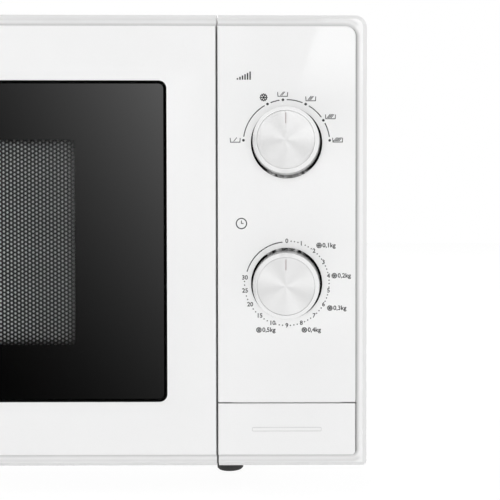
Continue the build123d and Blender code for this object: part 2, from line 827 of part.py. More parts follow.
def fan_blade():
    hub = rod_y(fan_x, fan_z, y_fan_blade, fan_hub)
    middle = (y_fan_blade[0] + y_fan_blade[1]) / 2
    fan = hub
    for k in range(fan_blade_count):
        angle = 2 * math.pi * k / fan_blade_count
        out = Vector(math.cos(angle), 0, math.sin(angle))
        along = Vector(-math.sin(angle), 0, math.cos(angle))
        stations = ((fan_hub * 0.8, fan_root_pitch, 0.55), (fan_reach, fan_tip_pitch, 1.0))
        sections = []
        for reach, pitch, share in stations:
            lean = math.radians(pitch)
            chord = along * math.cos(lean) + Vector(0, 1, 0) * math.sin(lean)
            place = Plane(origin=Vector(fan_x, middle, fan_z) + out * reach, x_dir=chord, z_dir=out)
            sections.append(place * Rectangle(fan_chord * share, fan_blade_thickness))
        fan += loft(sections, ruled=True)
    return fan - rod_y(fan_x, fan_z, wider(y_fan_blade, 1), fan_shaft_radius)


def cavity_lamp():
    y = y_plate + lamp_setback
    z = cavity_z[1] - lamp_drop
    half = lamp_size / 2
    holder = block((electrics_x, electrics_x + lamp_depth), about(y, half), about(z, half))
    holder -= block((electrics_x, electrics_x + lamp_depth - 2), about(y, half - 2), about(z, half - 2))
    bulb = rod_x(y, z, (electrics_x + 3, electrics_x + lamp_depth - 2), bulb_radius)
    bulb = chamfer(bulb.edges().sort_by(Axis.X)[0], bulb_radius * 0.4)
    return Compound(children=[holder, bulb])


def thermal_cutouts():
    yoke_top = magnetron_z + yoke_height / 2
    roof = cavity_z[1] + sheet
    places = ((magnetron_x + yoke_length / 2, magnetron_y, yoke_top), (turn_x + cavity_width / 4, turn_y, roof))
    discs = []
    for x, y, z in places:
        disc = rod_z(x, y, (z, z + cutout_height), cutout_radius)
        disc = chamfer(disc.edges().sort_by(Axis.Z)[-1], 2)
        for side in (-1, 1):
            disc += block(about(x + side * (cutout_radius - 1), 2.5), about(y, 2), (z + 1.5, z + 2.3))
        discs.append(disc)
    return Compound(children=discs)


def filter_board():
    z0 = fan_z + fan_size / 2 + board_stand
    y = about((y_fan[0] + y_fan[1]) / 2, board_length / 2)
    top = z0 + board_thickness
    board = block(about(fan_x, board_width / 2), y, (z0, top))
    middle = (y[0] + y[1]) / 2
    length, depth, height = board_film
    board += block(about(fan_x - board_width / 4, length / 2), about(middle, depth / 2), (top, top + height))
    choke_x = fan_x + board_width / 5
    choke = rod_z(choke_x, middle, (top, top + board_choke_height), board_choke_radius)
    board += choke - rod_z(choke_x, middle, (top + board_thickness, top + board_choke_height), board_choke_bore)
    fuse_z = top + 0.9 * board_fuse_radius
    board += rod_x(y[0] + 2 * board_fuse_radius, fuse_z, about(fan_x, board_fuse_length / 2), board_fuse_radius)
    return board


# Door

def moulding(x, side, y_back):
    # Hollow front shell: a raised pad with a hollow round at its foot, and a lower border with a bevelled edge
    # on the three outer sides.
    z = (z_base, z_top)
    pad_x = door_pad_x if side == "left" else panel_pad_x
    shell = from_front(front_outline(x, z, corner_radius, corner_radius_low, side), (y_step, y_back))
    inner_side = x[1] if side == "left" else x[0]
    rim = [e for e in shell.faces().sort_by(Axis.Y)[0].edges() if abs(e.center().X - inner_side) > 0.1]
    shell = chamfer(rim, edge_chamfer)
    pad = from_front(front_outline(pad_x, pad_z, pad_radius, pad_radius_low, side), (y_face, y_step + skin / 2))
    pad = fillet(pad.faces().sort_by(Axis.Y)[0].edges(), edge_round)
    shell += pad
    foot = shell.edges().filter_by_position(Axis.Y, y_step - 0.01, y_step + 0.01)
    for axis, span in ((Axis.X, pad_x), (Axis.Z, pad_z)):
        foot = foot.filter_by_position(axis, span[0] - 0.1, span[1] + 0.1)
    shell = fillet([e for e in foot if abs(e.center().X - inner_side) > 0.1], step_cove)
    shell -= from_front(panel(wider(x, -wall), wider(z, -wall)), (y_step + skin, y_back))
    return shell - from_front(panel(wider(pad_x, -wall), wider(pad_z, -wall)), (y_face + skin, y_step + skin))


def swing_trim():
    # What the door's hinge edge must not fill, so that it clears the front plate as it turns.
    corner = block((x_left - 1, hinge_x), (hinge_y, y_plate), wider((z_base, z_top), 1))
    return corner - rod_z(hinge_x, hinge_y, wider((z_base, z_top), 2), hinge_swing)


def tab_notch(tab):
    reach = (hinge_y - tab_half - 2.5, y_plate)
    return block((x_left - 1, hinge_x + tab_half + tab_clearance), reach, wider(tab, tab_clearance))


def door_frame():
    door = moulding(door_x, "left", y_door_back)
    gap = glass_clearance
    well = panel(wider(glass_x, gap), wider(glass_z, gap), glass_radius + gap)
    well_wall = panel(wider(glass_x, gap + wall), wider(glass_z, gap + wall), glass_radius + wall)
    sight = panel(wider(glass_x, -ledge_width), wider(glass_z, -ledge_width), glass_radius)
    y_ledge = (y_glass[1], y_glass[1] + ledge_thickness)
    door += from_front(well_wall, (y_face + skin / 2, y_ledge[1]))
    door -= from_front(well, (y_face - 1, y_ledge[0]))
    door -= from_front(sight, wider(y_ledge, 1))
    # Posts that carry the screen, one at each corner and one in the middle of the long sides.
    post_x = ((choke_inner_x[0] + choke_outer_x[0]) / 2, (choke_inner_x[1] + choke_outer_x[1]) / 2)
    post_z = ((choke_inner_z[0] + choke_outer_z[0]) / 2, (choke_inner_z[1] + choke_outer_z[1]) / 2)
    for px in (post_x[0], turn_x, post_x[1]):
        for pz in post_z:
            door += block(about(px, post_half), (y_face + skin / 2, y_choke), about(pz, post_half))
    door += block(about(latch_x, post_half), (y_face + skin / 2, latch_bar_y[1]), about(latch_post_z, post_half))
    # Bosses that turn on the two hinge pins.
    for tab, top in ((upper_tab_z, z_top - wall / 2), (lower_tab_z, choke_outer_z[0] - boss_gap)):
        height = (tab[1] + boss_gap, top)
        door += block((x_left + wall / 2, hinge_x + tab_half), about(hinge_y, tab_half), height)
        bore_top = tab[1] + pin_length + boss_gap
        door -= rod_z(hinge_x, hinge_y, (tab[1], bore_top), pin_radius + pin_clearance)
        door -= tab_notch(tab)
    return door - swing_trim()


def door_glass():
    glass = from_front(panel(glass_x, glass_z, glass_radius), y_glass)
    return chamfer(glass.faces().sort_by(Axis.Y)[0].edges(), glass_bevel)


def glass_seal():
    # Black bead that beds the glass in its well and shows as a dark line round it.
    gap = glass_clearance - seal_clearance
    outer = panel(wider(glass_x, gap), wider(glass_z, gap), glass_radius + gap)
    inner = panel(wider(glass_x, seal_clearance), wider(glass_z, seal_clearance), glass_radius + seal_clearance)
    return from_front(outer - inner, (y_face + seal_recess, y_glass[1]))


def door_screen():
    # Pressed steel: the sheet in front of the cavity is the screen, and a choke channel runs round it.
    inner = panel(choke_inner_x, choke_inner_z)
    outer = panel(choke_outer_x, choke_outer_z)
    inner_shell = panel(wider(choke_inner_x, -sheet), wider(choke_inner_z, -sheet))
    outer_shell = panel(wider(choke_outer_x, -sheet), wider(choke_outer_z, -sheet))
    screen = from_front(inner, (y_screen - sheet, y_screen))
    screen += from_front(inner - inner_shell, (y_choke, y_screen))
    screen += from_front(outer - inner_shell, (y_choke, y_choke + sheet))
    screen += from_front(outer - outer_shell, (y_choke, y_choke_cover))
    # Slots part the outer wall of the channel into fingers.
    slot_y = (y_choke + 3 * sheet, y_choke_cover + 1)
    across = int((choke_outer_x[1] - choke_outer_x[0]) / choke_pitch)
    upright = int((choke_outer_z[1] - choke_outer_z[0]) / choke_pitch)
    for span, count, other, flat in ((choke_outer_x, across, choke_outer_z, True),
                                     (choke_outer_z, upright, choke_outer_x, False)):
        middle = (span[0] + span[1]) / 2
        for k in range(count):
            slot = about(middle + (k - (count - 1) / 2) * choke_pitch, choke_slot / 2)
            for edge in other:
                cut = about(edge, 2 * sheet)
                screen -= block(slot, slot_y, cut) if flat else block(cut, slot_y, slot)
    return screen


def door_film():
    inner = panel(wider(choke_inner_x, -sheet), wider(choke_inner_z, -sheet))
    return from_front(inner, (y_screen, y_choke_cover))


def choke_cover():
    y = (y_choke_cover, y_door_back)
    inset = -wall - choke_cover_clearance
    lap = -sheet - choke_cover_lap
    ring = from_front(panel(wider(door_x, inset), wider((z_base, z_top), inset), 1), y)
    ring -= from_front(panel(wider(choke_inner_x, lap), wider(choke_inner_z, lap), 6), wider(y, 1))
    for z in hook_z:
        ring -= from_front(hook_slot(z), wider(y, 1))
    for tab in (upper_tab_z, lower_tab_z):
        ring -= tab_notch(tab)
    return ring - swing_trim()


def door_latch():
    # Sliding bar with two hooks. The lower one has a tail that the release lever lifts.
    catch = y_inside + bracket_wall + slot_clearance
    root = latch_bar_y[0]
    tip = y_plate + hook_reach
    tail = y_plate + hook_tail
    low, high = hook_z
    bar = panel(latch_bar_y, latch_bar_z)
    top_hook = [(root, high), (catch, high), (catch, high - hook_tooth), (catch + 5, high - hook_tooth),
                (tip, high + 4), (tip, high + 6), (tip - 3, high + hook_height), (root, high + hook_height)]
    low_hook = [(root, low), (catch, low), (catch, low - hook_tooth), (catch + 5, low - hook_tooth),
                (catch + 9, low + 2), (tail, low + 2), (tail, low + 6),
                (tip - 3, low + hook_height), (root, low + hook_height)]
    profile = bar + make_face(Polyline(*top_hook, close=True)) + make_face(Polyline(*low_hook, close=True))
    return from_side(profile, about(latch_x, hook_thickness / 2))


def latch_spring():
    rise = latch_spring_length - 3 * latch_spring_wire
    coil = spring(latch_spring_radius, latch_spring_wire, latch_spring_turns, rise)
    foot_z = latch_bar_z[0] - latch_spring_length + 1.5 * latch_spring_wire
    return Pos(latch_x, (latch_bar_y[0] + latch_bar_y[1]) / 2, foot_z) * coil


def hinge_brackets():
    brackets = []
    for tab, away in ((upper_tab_z, -1), (lower_tab_z, 1)):
        back = (y_inside, y_inside + tab_thickness)
        reach = sorted((tab[0] if away > 0 else tab[1], tab[0] + away * bracket_reach))
        flat = block((hinge_x - tab_half, cavity_x[0] - sheet - 1.5), back, reach)
        arm = panel(about(hinge_x, tab_half), (hinge_y, back[1])) + Pos(hinge_x, hinge_y) * Circle(tab_half)
        bracket = flat + from_above(arm, tab)
        brackets.append(bracket + rod_z(hinge_x, hinge_y, (tab[1], tab[1] + pin_length), pin_radius))
    return Compound(children=brackets)


# Control panel

def control_panel():
    face = moulding(panel_x, "right", y_plate)
    hole = bush_radius + bush_hole_clearance
    for z, size in ((power_z, selector_size), (timer_z, timer_size)):
        offset = size / 2 - control_post_inset
        for x in about(panel_mid_x, offset):
            for post_z in about(z, offset):
                face += block(about(x, post_half), (y_face + skin / 2, y_control), about(post_z, post_half))
        face -= rod_y(panel_mid_x, z, (y_face - 1, y_control), hole)
    opening_x = (panel_x[0] - 1, panel_pad_x[1] + button_side_gap)
    opening_z = (button_z[0] - button_side_gap, button_z[1] + button_gap)
    opening = front_outline(opening_x, opening_z, edge_round, pad_radius_low + button_side_gap, "right")
    face -= from_front(opening, (y_face - 1, y_step + skin))
    side_notch = (y_face - 1, y_face + button_depth + button_travel + 1)
    return face - block((panel_x[0] - 1, panel_x[0] + wall), side_notch, opening_z)


def door_button():
    y = (y_face, y_face + button_depth)
    cap = from_front(front_outline(panel_pad_x, button_z, edge_round, pad_radius_low, "right"), y)
    cap = fillet(cap.faces().sort_by(Axis.Y)[0].edges(), edge_round)
    cap -= block(wider(panel_pad_x, -button_wall), (y_face + button_wall, y[1] + 1), wider(button_z, -button_wall))
    bar = about(panel_mid_x, button_bar_length / 2), about(button_mid_z, button_bar_height / 2)
    bar_round = button_bar_height / 2 - button_bar_groove
    inner_bar = [wider(side, -button_bar_groove) for side in bar]
    groove = panel(*bar, bar_round) - panel(*inner_bar, bar_round - button_bar_groove)
    cap -= from_front(groove, (y_face - 1, y_face + button_bar_groove))
    back = y_face + button_wall / 2
    stem_end = lever_y - lever_thickness / 2 - stem_gap
    cap += block(about(stem_x, stem_width / 2), (back, stem_end), (push_z - stem_height, push_z))
    cap += rod_y(spring_x, button_mid_z, (back, back + button_peg_length), button_peg_radius)
    # Lip that stops behind the panel, so that the spring cannot push the button out.
    lip_y = (y_face + skin + button_side_gap, y_face + skin + button_side_gap + button_wall)
    lip_z = (button_z[1] - button_wall, button_z[1] + button_gap + button_lip)
    cap += block(wider(panel_pad_x, -3 * wall), lip_y, lip_z)
    return cap


def button_spring():
    length = y_plate - (y_face + button_wall)
    coil = spring(button_spring_radius, button_spring_wire, button_spring_turns, length - 3 * button_spring_wire)
    return Pos(spring_x, y_plate - 1.5 * button_spring_wire, button_mid_z) * Rot(90, 0, 0) * coil


def knob_body():
    # Tapered shell on a low collar, with a bevelled rim, a seat for the metal cap, and a hub on the shaft.
    back = knob_gap
    front = knob_height
    seat = front - cap_recess - cap_thickness
    collar_top = back + knob_collar
    outside = [(0, back), (knob_collar_radius, back), (knob_collar_radius, collar_top),
               (knob_base_radius, collar_top), (knob_face_radius, front - knob_rim),
               (knob_face_radius - knob_rim, front), (cap_radius, front), (cap_radius, seat), (0, seat)]
    inside_top = seat - knob_wall
    hollow = [(0, 0), (knob_base_radius - knob_wall, 0),
              (knob_face_radius - knob_wall, inside_top), (0, inside_top)]
    body = turned([(r, 0, z) for r, z in outside]) - turned([(r, 0, z) for r, z in hollow])
    hub = rod_z(0, 0, (back, inside_top), knob_hub_radius)
    return body + hub - rod_z(0, 0, (0, shaft_in_knob + back), shaft_radius + shaft_clearance / 2)


def knob_cap():
    seat = knob_height - cap_recess - cap_thickness
    cap = rod_z(0, 0, (seat, seat + cap_thickness), cap_radius - 0.05)
    cap = chamfer(cap.edges().sort_by(Axis.Z)[-1], 0.25)
    mark = about(cap_radius - 1.2 - pointer_length / 2, pointer_length / 2)
    top = seat + cap_thickness
    return cap - block(about(0, pointer_width / 2), mark, (top - pointer_depth, top))


def on_panel(piece, z):
    return Pos(panel_mid_x, y_face, z) * Rot(90, 0, 0) * piece


def control_shaft(z):
    y = (y_face - shaft_in_knob, y_control + shaft_in_body)
    shaft = rod_y(panel_mid_x, z, y, shaft_radius)
    flat_z = (z - shaft_radius, z - shaft_radius + shaft_flat)
    flat = block(about(panel_mid_x, shaft_radius), (y[0], y_face), flat_z)
    return shaft - flat


def control_body(z, size, depth):
    body = from_front(panel(about(panel_mid_x, size / 2), about(z, size / 2)), (y_control, y_control + depth))
    body = chamfer(body.faces().sort_by(Axis.Y)[-1].edges(), 1.5)
    body += rod_y(panel_mid_x, z, (y_control - bush_length, y_control), bush_radius)
    bore_y = (y_control - bush_length, y_control + shaft_in_body)
    return body - rod_y(panel_mid_x, z, bore_y, shaft_radius + shaft_clearance)


def timer_body():
    body = control_body(timer_z, timer_size, timer_depth)
    back = y_control + timer_depth
    bell = rod_y(panel_mid_x, timer_z, (back, back + bell_depth), bell_radius)
    return body + chamfer(bell.edges().sort_by(Axis.Y)[-1], bell_depth * 0.5)


def power_selector():
    body = control_body(power_z, selector_size, selector_depth)
    back = y_control + selector_depth
    for row in (-1, 1):
        for column in (-1, 1):
            x = about(panel_mid_x + column * selector_size / 4, 0.4)
            z = about(power_z + row * selector_size / 4, terminal_width / 2)
            body += block(x, (back - 1, back + terminal_length), z)
    return body


# Release lever and interlock

def release_lever():
    # Bell crank: the button pushes its lower arm back, and its rear tip lifts the latch.
    tip = Vector(lever_y + lever_tip, hook_z[0] + 2 - lever_gap - lever_thickness / 2)
    hub = Pos(lever_y, lever_z) * Circle(lever_hub)
    run = Line((lever_y, lever_z), (tip.X, tip.Y))
    arm = trace(run, lever_thickness) + Pos(tip.X, tip.Y) * Circle(lever_thickness / 2)
    lever = from_side(hub + arm, lever_x)
    arm_y = about(lever_y, lever_thickness / 2)
    foot_top = push_z + 6
    lever += block(lever_x, arm_y, (foot_top - 1, lever_z))
    lever += block((lever_x[0], lever_x[0] + lever_reach), arm_y, (push_z - 5, foot_top))
    return lever - rod_x(lever_y, lever_z, wider(lever_x, 1), lever_pin + lever_pin_clearance)


def interlock_bracket():
    x = (bracket_x, bracket_x + bracket_wall)
    z = (lever_z - lever_hub, hook_z[1] + bracket_top)
    bracket = block(x, (y_inside, y_inside + bracket_depth), z)
    bracket += block((x[0], x[1] + bracket_flange - bracket_wall), (y_inside, y_inside + bracket_wall), z)
    for hook in hook_z:
        catch_z = (hook - 9.0, hook - slot_clearance)
        bracket += block((latch_x - hook_thickness, x[0] + 1), (y_inside, y_inside + bracket_wall), catch_z)
        window = (hook - hook_tooth, hook + hook_height + latch_lift)
        bracket -= block(wider(x, 1), about(y_inside + bracket_depth * 0.55, 5), window)
    pin = rod_x(lever_y, lever_z, (lever_x[0], x[0] + 1), lever_pin)
    return bracket + pin


def interlock_switches():
    x = (bracket_x + bracket_wall, bracket_x + bracket_wall + switch_width)
    y = (y_inside + bracket_wall + 3, y_inside + bracket_wall + 3 + switch_length)
    starts = (hook_z[0] - hook_tooth, hook_z[0] - hook_tooth + switch_height + 4, hook_z[1] - hook_tooth)
    switches = []
    for z0 in starts:
        switch = block(x, y, (z0, z0 + switch_height))
        for k in range(3):
            blade = about(z0 + switch_height / 2 + (k - 1) * switch_height / 3, 0.4)
            blade_y = (y[1] - 1, y[1] + terminal_length * 0.6)
            switch += block(about((x[0] + x[1]) / 2, terminal_width / 2), blade_y, blade)
        switches.append(switch)
    return Compound(children=switches)


# Turntable

def turntable_plate():
    top = plate_z + plate_thickness
    lip = plate_z + plate_rim
    profile = [(0, plate_z), (plate_flat, plate_z), (plate_radius, lip - 3), (plate_radius, lip - 1), (plate_radius - 1, lip),
               (plate_radius - 3, lip), (plate_flat - 3, top), (0, top)]
    plate = turned([(r, 0, z) for r, z in profile])
    for k in range(3):
        angle = 2 * math.pi * k / 3 + math.pi / 3
        reach = coupler_wing - coupler_wing_width
        x, y = reach * math.cos(angle), reach * math.sin(angle)
        plate += rod_z(x, y, (plate_z - plate_boss_height, plate_z + 1), plate_boss)
    return Pos(turn_x, turn_y, 0) * plate


def turntable_coupler():
    z = (dish_z + coupler_floor_gap, plate_z)
    coupler = rod_z(0, 0, z, coupler_radius)
    for k in range(3):
        wing = block((0, coupler_wing), about(0, coupler_wing_width / 2), (z[1] - coupler_wing_height, z[1]))
        wing = chamfer(wing.edges().filter_by(Axis.Z).sort_by(Axis.X)[-2:], 2)
        coupler += Rot(0, 0, 120 * k) * wing
    coupler -= rod_z(0, 0, (z[0] - 1, z[0] + turn_shaft_engage), turn_shaft_radius + shaft_clearance / 2)
    return Pos(turn_x, turn_y, 0) * coupler


def turntable_shaft():
    z = (motor_z[0] + motor_height / 3, dish_z + coupler_floor_gap + turn_shaft_engage)
    return rod_z(turn_x, turn_y, z, turn_shaft_radius)


def turntable_motor():
    ear = Pos(turn_x, turn_y) * Rectangle(2 * motor_ear, 12)
    motor = rod_z(turn_x, turn_y, motor_z, motor_radius)
    motor = chamfer(motor.edges().sort_by(Axis.Z)[0], 1.5)
    motor += from_above(ear, (motor_z[1] - motor_ear_thickness, motor_z[1]))
    bore_z = (motor_z[0] + motor_height / 3, motor_z[1] + 1)
    return motor - rod_z(turn_x, turn_y, bore_z, turn_shaft_radius + shaft_clearance)


def roller_ring():
    z = about(roller_z, ring_height / 2)
    flat = Circle(ring_radius + ring_width / 2) - Circle(ring_radius - ring_width / 2)
    ring = from_above(flat, z)
    face = roller_track - roller_width / 2 - roller_gap
    far = roller_track + roller_width / 2 + roller_gap
    for k in range(3):
        arm = rod_x(0, roller_z, (face, far), axle_radius)
        for span in ((ring_radius, face), (far, far + 2)):
            arm += block(span, about(0, axle_head), about(roller_z, axle_head))
        ring += Rot(0, 0, 120 * k) * arm
    return Pos(turn_x, turn_y, 0) * ring


def roller(k):
    wheel = rod_x(0, roller_z, about(roller_track, roller_width / 2), roller_radius)
    wheel = chamfer(wheel.edges().filter_by(GeomType.CIRCLE), 0.8)
    wheel -= rod_x(0, roller_z, about(roller_track, roller_width), axle_radius + axle_clearance)
    return Pos(turn_x, turn_y, 0) * Rot(0, 0, 120 * k) * wheel


def pieces():
    return {
        "outer_cover": outer_cover(),
        "base_plate": base_plate(),
        "rear_panel": rear_panel(),
        "front_plate": front_plate(),
        "feet": feet(),
        "cover_screws": cover_screws(),
        "cord_gland": cord_gland(),
        "cavity_wrap": cavity_wrap(),
        "cavity_floor": cavity_floor(),
        "cavity_back": cavity_back(),
        "waveguide": waveguide(),
        "waveguide_cover": waveguide_cover(),
        "magnetron_yoke": magnetron_yoke(),
        "magnetron_magnets": magnetron_magnets(),
        "magnetron_core": magnetron_core(),
        "magnetron_antenna": magnetron_antenna(),
        "magnetron_filter_box": magnetron_filter_box(),
        "transformer_core": transformer_core(),
        "transformer_windings": transformer_windings(),
        "hv_capacitor": hv_capacitor(),
        "capacitor_clamp": capacitor_clamp(),
        "hv_diode": hv_diode(),
        "fan_housing": fan_housing(),
        "fan_motor": fan_motor(),
        "fan_shaft": fan_shaft(),
        "fan_blade": fan_blade(),
        "cavity_lamp": cavity_lamp(),
        "thermal_cutouts": thermal_cutouts(),
        "filter_board": filter_board(),
        "door_frame": door_frame(),
        "door_glass": door_glass(),
        "glass_seal": glass_seal(),
        "door_screen": door_screen(),
        "door_film": door_film(),
        "choke_cover": choke_cover(),
        "door_latch": door_latch(),
        "latch_spring": latch_spring(),
        "hinge_brackets": hinge_brackets(),
        "control_panel": control_panel(),
        "door_button": door_button(),
        "button_spring": button_spring(),
        "power_knob": on_panel(knob_body(), power_z),
        "power_knob_cap": on_panel(knob_cap(), power_z),
        "power_shaft": control_shaft(power_z),
        "power_selector": power_selector(),
        "timer_knob": on_panel(knob_body(), timer_z),
        "timer_knob_cap": on_panel(knob_cap(), timer_z),
        "timer_shaft": control_shaft(timer_z),
        "timer_body": timer_body(),
        "release_lever": release_lever(),
        "interlock_bracket": interlock_bracket(),
        "interlock_switches": interlock_switches(),
        "turntable_plate": turntable_plate(),
        "turntable_coupler": turntable_coupler(),
        "turntable_shaft": turntable_shaft(),
        "turntable_motor": turntable_motor(),
        "roller_ring": roller_ring(),
        "roller_1": roller(0),
        "roller_2": roller(1),
        "roller_3": roller(2),
    }


def main():
    os.makedirs("parts", exist_ok=True)
    for name, shape in pieces().items():
        export_step(shape, f"parts/{name}.step")
        box = shape.bounding_box()
        size = box.size
        measure = f"{size.X:.1f} x {size.Y:.1f} x {size.Z:.1f} mm"
        print(f"{name}: {len(shape.solids())} solids, {measure}, valid {shape.is_valid}")


if __name__ == "__main__":
    main()
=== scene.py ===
import bpy
import math
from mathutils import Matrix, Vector


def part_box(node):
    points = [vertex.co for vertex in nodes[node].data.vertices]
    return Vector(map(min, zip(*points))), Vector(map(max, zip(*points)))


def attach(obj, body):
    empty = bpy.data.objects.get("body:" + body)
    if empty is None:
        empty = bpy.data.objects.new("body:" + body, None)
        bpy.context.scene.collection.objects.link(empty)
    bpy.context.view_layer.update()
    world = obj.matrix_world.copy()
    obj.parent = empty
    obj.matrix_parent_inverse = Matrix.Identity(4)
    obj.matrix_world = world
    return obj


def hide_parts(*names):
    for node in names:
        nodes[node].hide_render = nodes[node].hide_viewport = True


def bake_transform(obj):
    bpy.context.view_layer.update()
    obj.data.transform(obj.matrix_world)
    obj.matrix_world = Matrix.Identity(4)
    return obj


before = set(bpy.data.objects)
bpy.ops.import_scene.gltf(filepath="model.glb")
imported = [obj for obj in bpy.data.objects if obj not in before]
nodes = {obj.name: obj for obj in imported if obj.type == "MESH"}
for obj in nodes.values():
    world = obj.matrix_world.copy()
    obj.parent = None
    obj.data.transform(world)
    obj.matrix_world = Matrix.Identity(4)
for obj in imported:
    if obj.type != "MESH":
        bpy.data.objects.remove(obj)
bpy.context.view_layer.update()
mm = 0.001
print("frame loaded:", len(nodes), "nodes")


# Places that everything on the front is set out from
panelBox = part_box("control_panel")
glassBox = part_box("door_glass")
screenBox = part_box("door_screen")
faceY = panelBox[0].y            # front of the raised face
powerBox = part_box("power_knob")
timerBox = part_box("timer_knob")
powerCentre = (powerBox[0] + powerBox[1]) / 2
timerCentre = (timerBox[0] + timerBox[1]) / 2
weldGap = 0.001 * mm             # points closer than this become one


def clearSelection():
    if bpy.context.object and bpy.context.object.mode == "EDIT":
        bpy.ops.object.mode_set(mode="OBJECT")
    bpy.ops.object.select_all(action="DESELECT")


def makeActive(piece):
    clearSelection()
    piece.select_set(True)
    bpy.context.view_layer.objects.active = piece


def newPiece(name):
    piece = bpy.context.object
    piece.name = name
    piece.data.name = name
    return piece


def applyPlace():
    bpy.ops.object.transform_apply(location=True, rotation=True, scale=True)


def joinPieces(pieces, name):
    clearSelection()
    for piece in pieces:
        piece.select_set(True)
    bpy.context.view_layer.objects.active = pieces[0]
    if len(pieces) > 1:
        bpy.ops.object.join()
    applyPlace()
    return newPiece(name)


def applyModifiers(piece):
    makeActive(piece)
    for modifier in list(piece.modifiers):
        bpy.ops.object.modifier_apply(modifier=modifier.name)


def thicken(piece, thickness):
    wall = piece.modifiers.new("wall", "SOLIDIFY")
    wall.thickness = thickness
    wall.offset = 0
    applyModifiers(piece)


def selectFaces(piece, rule):
    # Picks faces by their middle, and leaves the piece in edit mode.
    makeActive(piece)
    bpy.ops.object.mode_set(mode="EDIT")
    bpy.ops.mesh.select_mode(type="FACE")
    bpy.ops.mesh.select_all(action="DESELECT")
    bpy.ops.object.mode_set(mode="OBJECT")
    for face in piece.data.polygons:
        face.select = rule(face.center)
    bpy.ops.object.mode_set(mode="EDIT")


def cutSides(left, right, bottom, top):
    # In edit mode, cuts the mesh along the four sides of an upright box, seen from the front.
    for spot, normal in (((left, 0, 0), (1, 0, 0)), ((right, 0, 0), (1, 0, 0)),
                         ((0, 0, bottom), (0, 0, 1)), ((0, 0, top), (0, 0, 1))):
        bpy.ops.mesh.select_all(action="SELECT")
        bpy.ops.mesh.bisect(plane_co=spot, plane_no=normal)


def leaveEdit():
    # Turns all faces outwards on the way out.
    bpy.ops.mesh.select_all(action="SELECT")
    bpy.ops.mesh.normals_make_consistent(inside=False)
    bpy.ops.object.mode_set(mode="OBJECT")


# Colours and nodes

def linear(code):
    values = [int(code[i:i + 2], 16) / 255 for i in (1, 3, 5)]
    return [v / 12.92 if v <= 0.04045 else ((v + 0.055) / 1.055) ** 2.4 for v in values] + [1.0]


def feed(node, inputs):
    # An input, by name or number, takes a value, another node's output, or a node for its first output.
    for key, value in inputs.items():
        if isinstance(value, bpy.types.Node):
            value = value.outputs[0]
        if isinstance(value, bpy.types.NodeSocket):
            node.id_data.links.new(value, node.inputs[key])
        else:
            node.inputs[key].default_value = value


def addNode(tree, kind, inputs=None, **settings):
    node = tree.nodes.new(kind)
    for key, value in settings.items():
        setattr(node, key, value)
    feed(node, inputs or {})
    return node


def newMaterial(name, inputs=None):
    material = bpy.data.materials.new(name)
    material.use_nodes = True
    shader = material.node_tree.nodes["Principled BSDF"]
    feed(shader, inputs or {})
    return material, material.node_tree, shader


def setRamp(node, stops):
    ramp = node.color_ramp
    while len(ramp.elements) < len(stops):
        ramp.elements.new(0.5)
    for element, (place, code) in zip(ramp.elements, stops):
        element.position = place
        element.color = linear(code)


def placeParts(tree):
    place = addNode(tree, "ShaderNodeTexCoord")
    return addNode(tree, "ShaderNodeSeparateXYZ", {"Vector": place.outputs["Object"]}).outputs


def softEdges(tree, sources, edges, operation):
    # Each edge: its source, where it starts and ends there, and its level at both. One operation joins them.
    joined = None
    for way, start, end, first, last in edges:
        if start > end:
            start, end, first, last = end, start, last, first
        edge = addNode(tree, "ShaderNodeMapRange",
                       {"Value": sources[way], "From Min": start, "From Max": end,
                        "To Min": first, "To Max": last}, interpolation_type="SMOOTHSTEP")
        if joined:
            edge = addNode(tree, "ShaderNodeMath", {0: joined, 1: edge}, operation=operation)
        joined = edge
    return joined


finishSpec = {
    "drift": 60 * mm,          # slow change of tone over a moulding or a painted sheet
    "relief": 0.02 * mm,       # height of grain and crystals
    "cellSpread": 0.08,        # roughness from one crystal to another, either way
    "waves": 35 * mm,          # slow waves in glass
    "waveRelief": 0.05 * mm,
}


def grainy(name, dark, light, grain, bump, roughness, spread=0.06, metallic=0.0, shine=0.5):
    # Two close shades and a fine bump from one noise, grain in mm.
    material, tree, shader = newMaterial(name, {"Metallic": metallic, "Specular IOR Level": shine})
    place = addNode(tree, "ShaderNodeTexCoord").outputs["Object"]
    fine = {"Vector": place, "Scale": 1 / (grain * mm), "Detail": 3.0, "Roughness": 0.55}
    noise = addNode(tree, "ShaderNodeTexNoise", fine).outputs["Fac"]
    slow = {"Vector": place, "Scale": 1 / finishSpec["drift"], "Detail": 2.0}
    broad = addNode(tree, "ShaderNodeTexNoise", slow).outputs["Fac"]
    mixed = addNode(tree, "ShaderNodeMath", {0: noise, 1: broad}, operation="ADD")
    tint = addNode(tree, "ShaderNodeMapRange", {"Value": mixed, "From Min": 0.7, "From Max": 1.3})
    ramp = addNode(tree, "ShaderNodeValToRGB", {"Fac": tint})
    setRamp(ramp, [(0.0, dark), (1.0, light)])
    gloss = addNode(tree, "ShaderNodeMapRange", {"Value": noise, "From Min": 0.3, "From Max": 0.7,
                                                 "To Min": roughness - spread, "To Max": roughness + spread})
    relief = addNode(tree, "ShaderNodeBump",
                     {"Height": noise, "Strength": bump, "Distance": finishSpec["relief"]})
    feed(shader, {"Base Color": ramp, "Roughness": gloss, "Normal": relief})
    return material


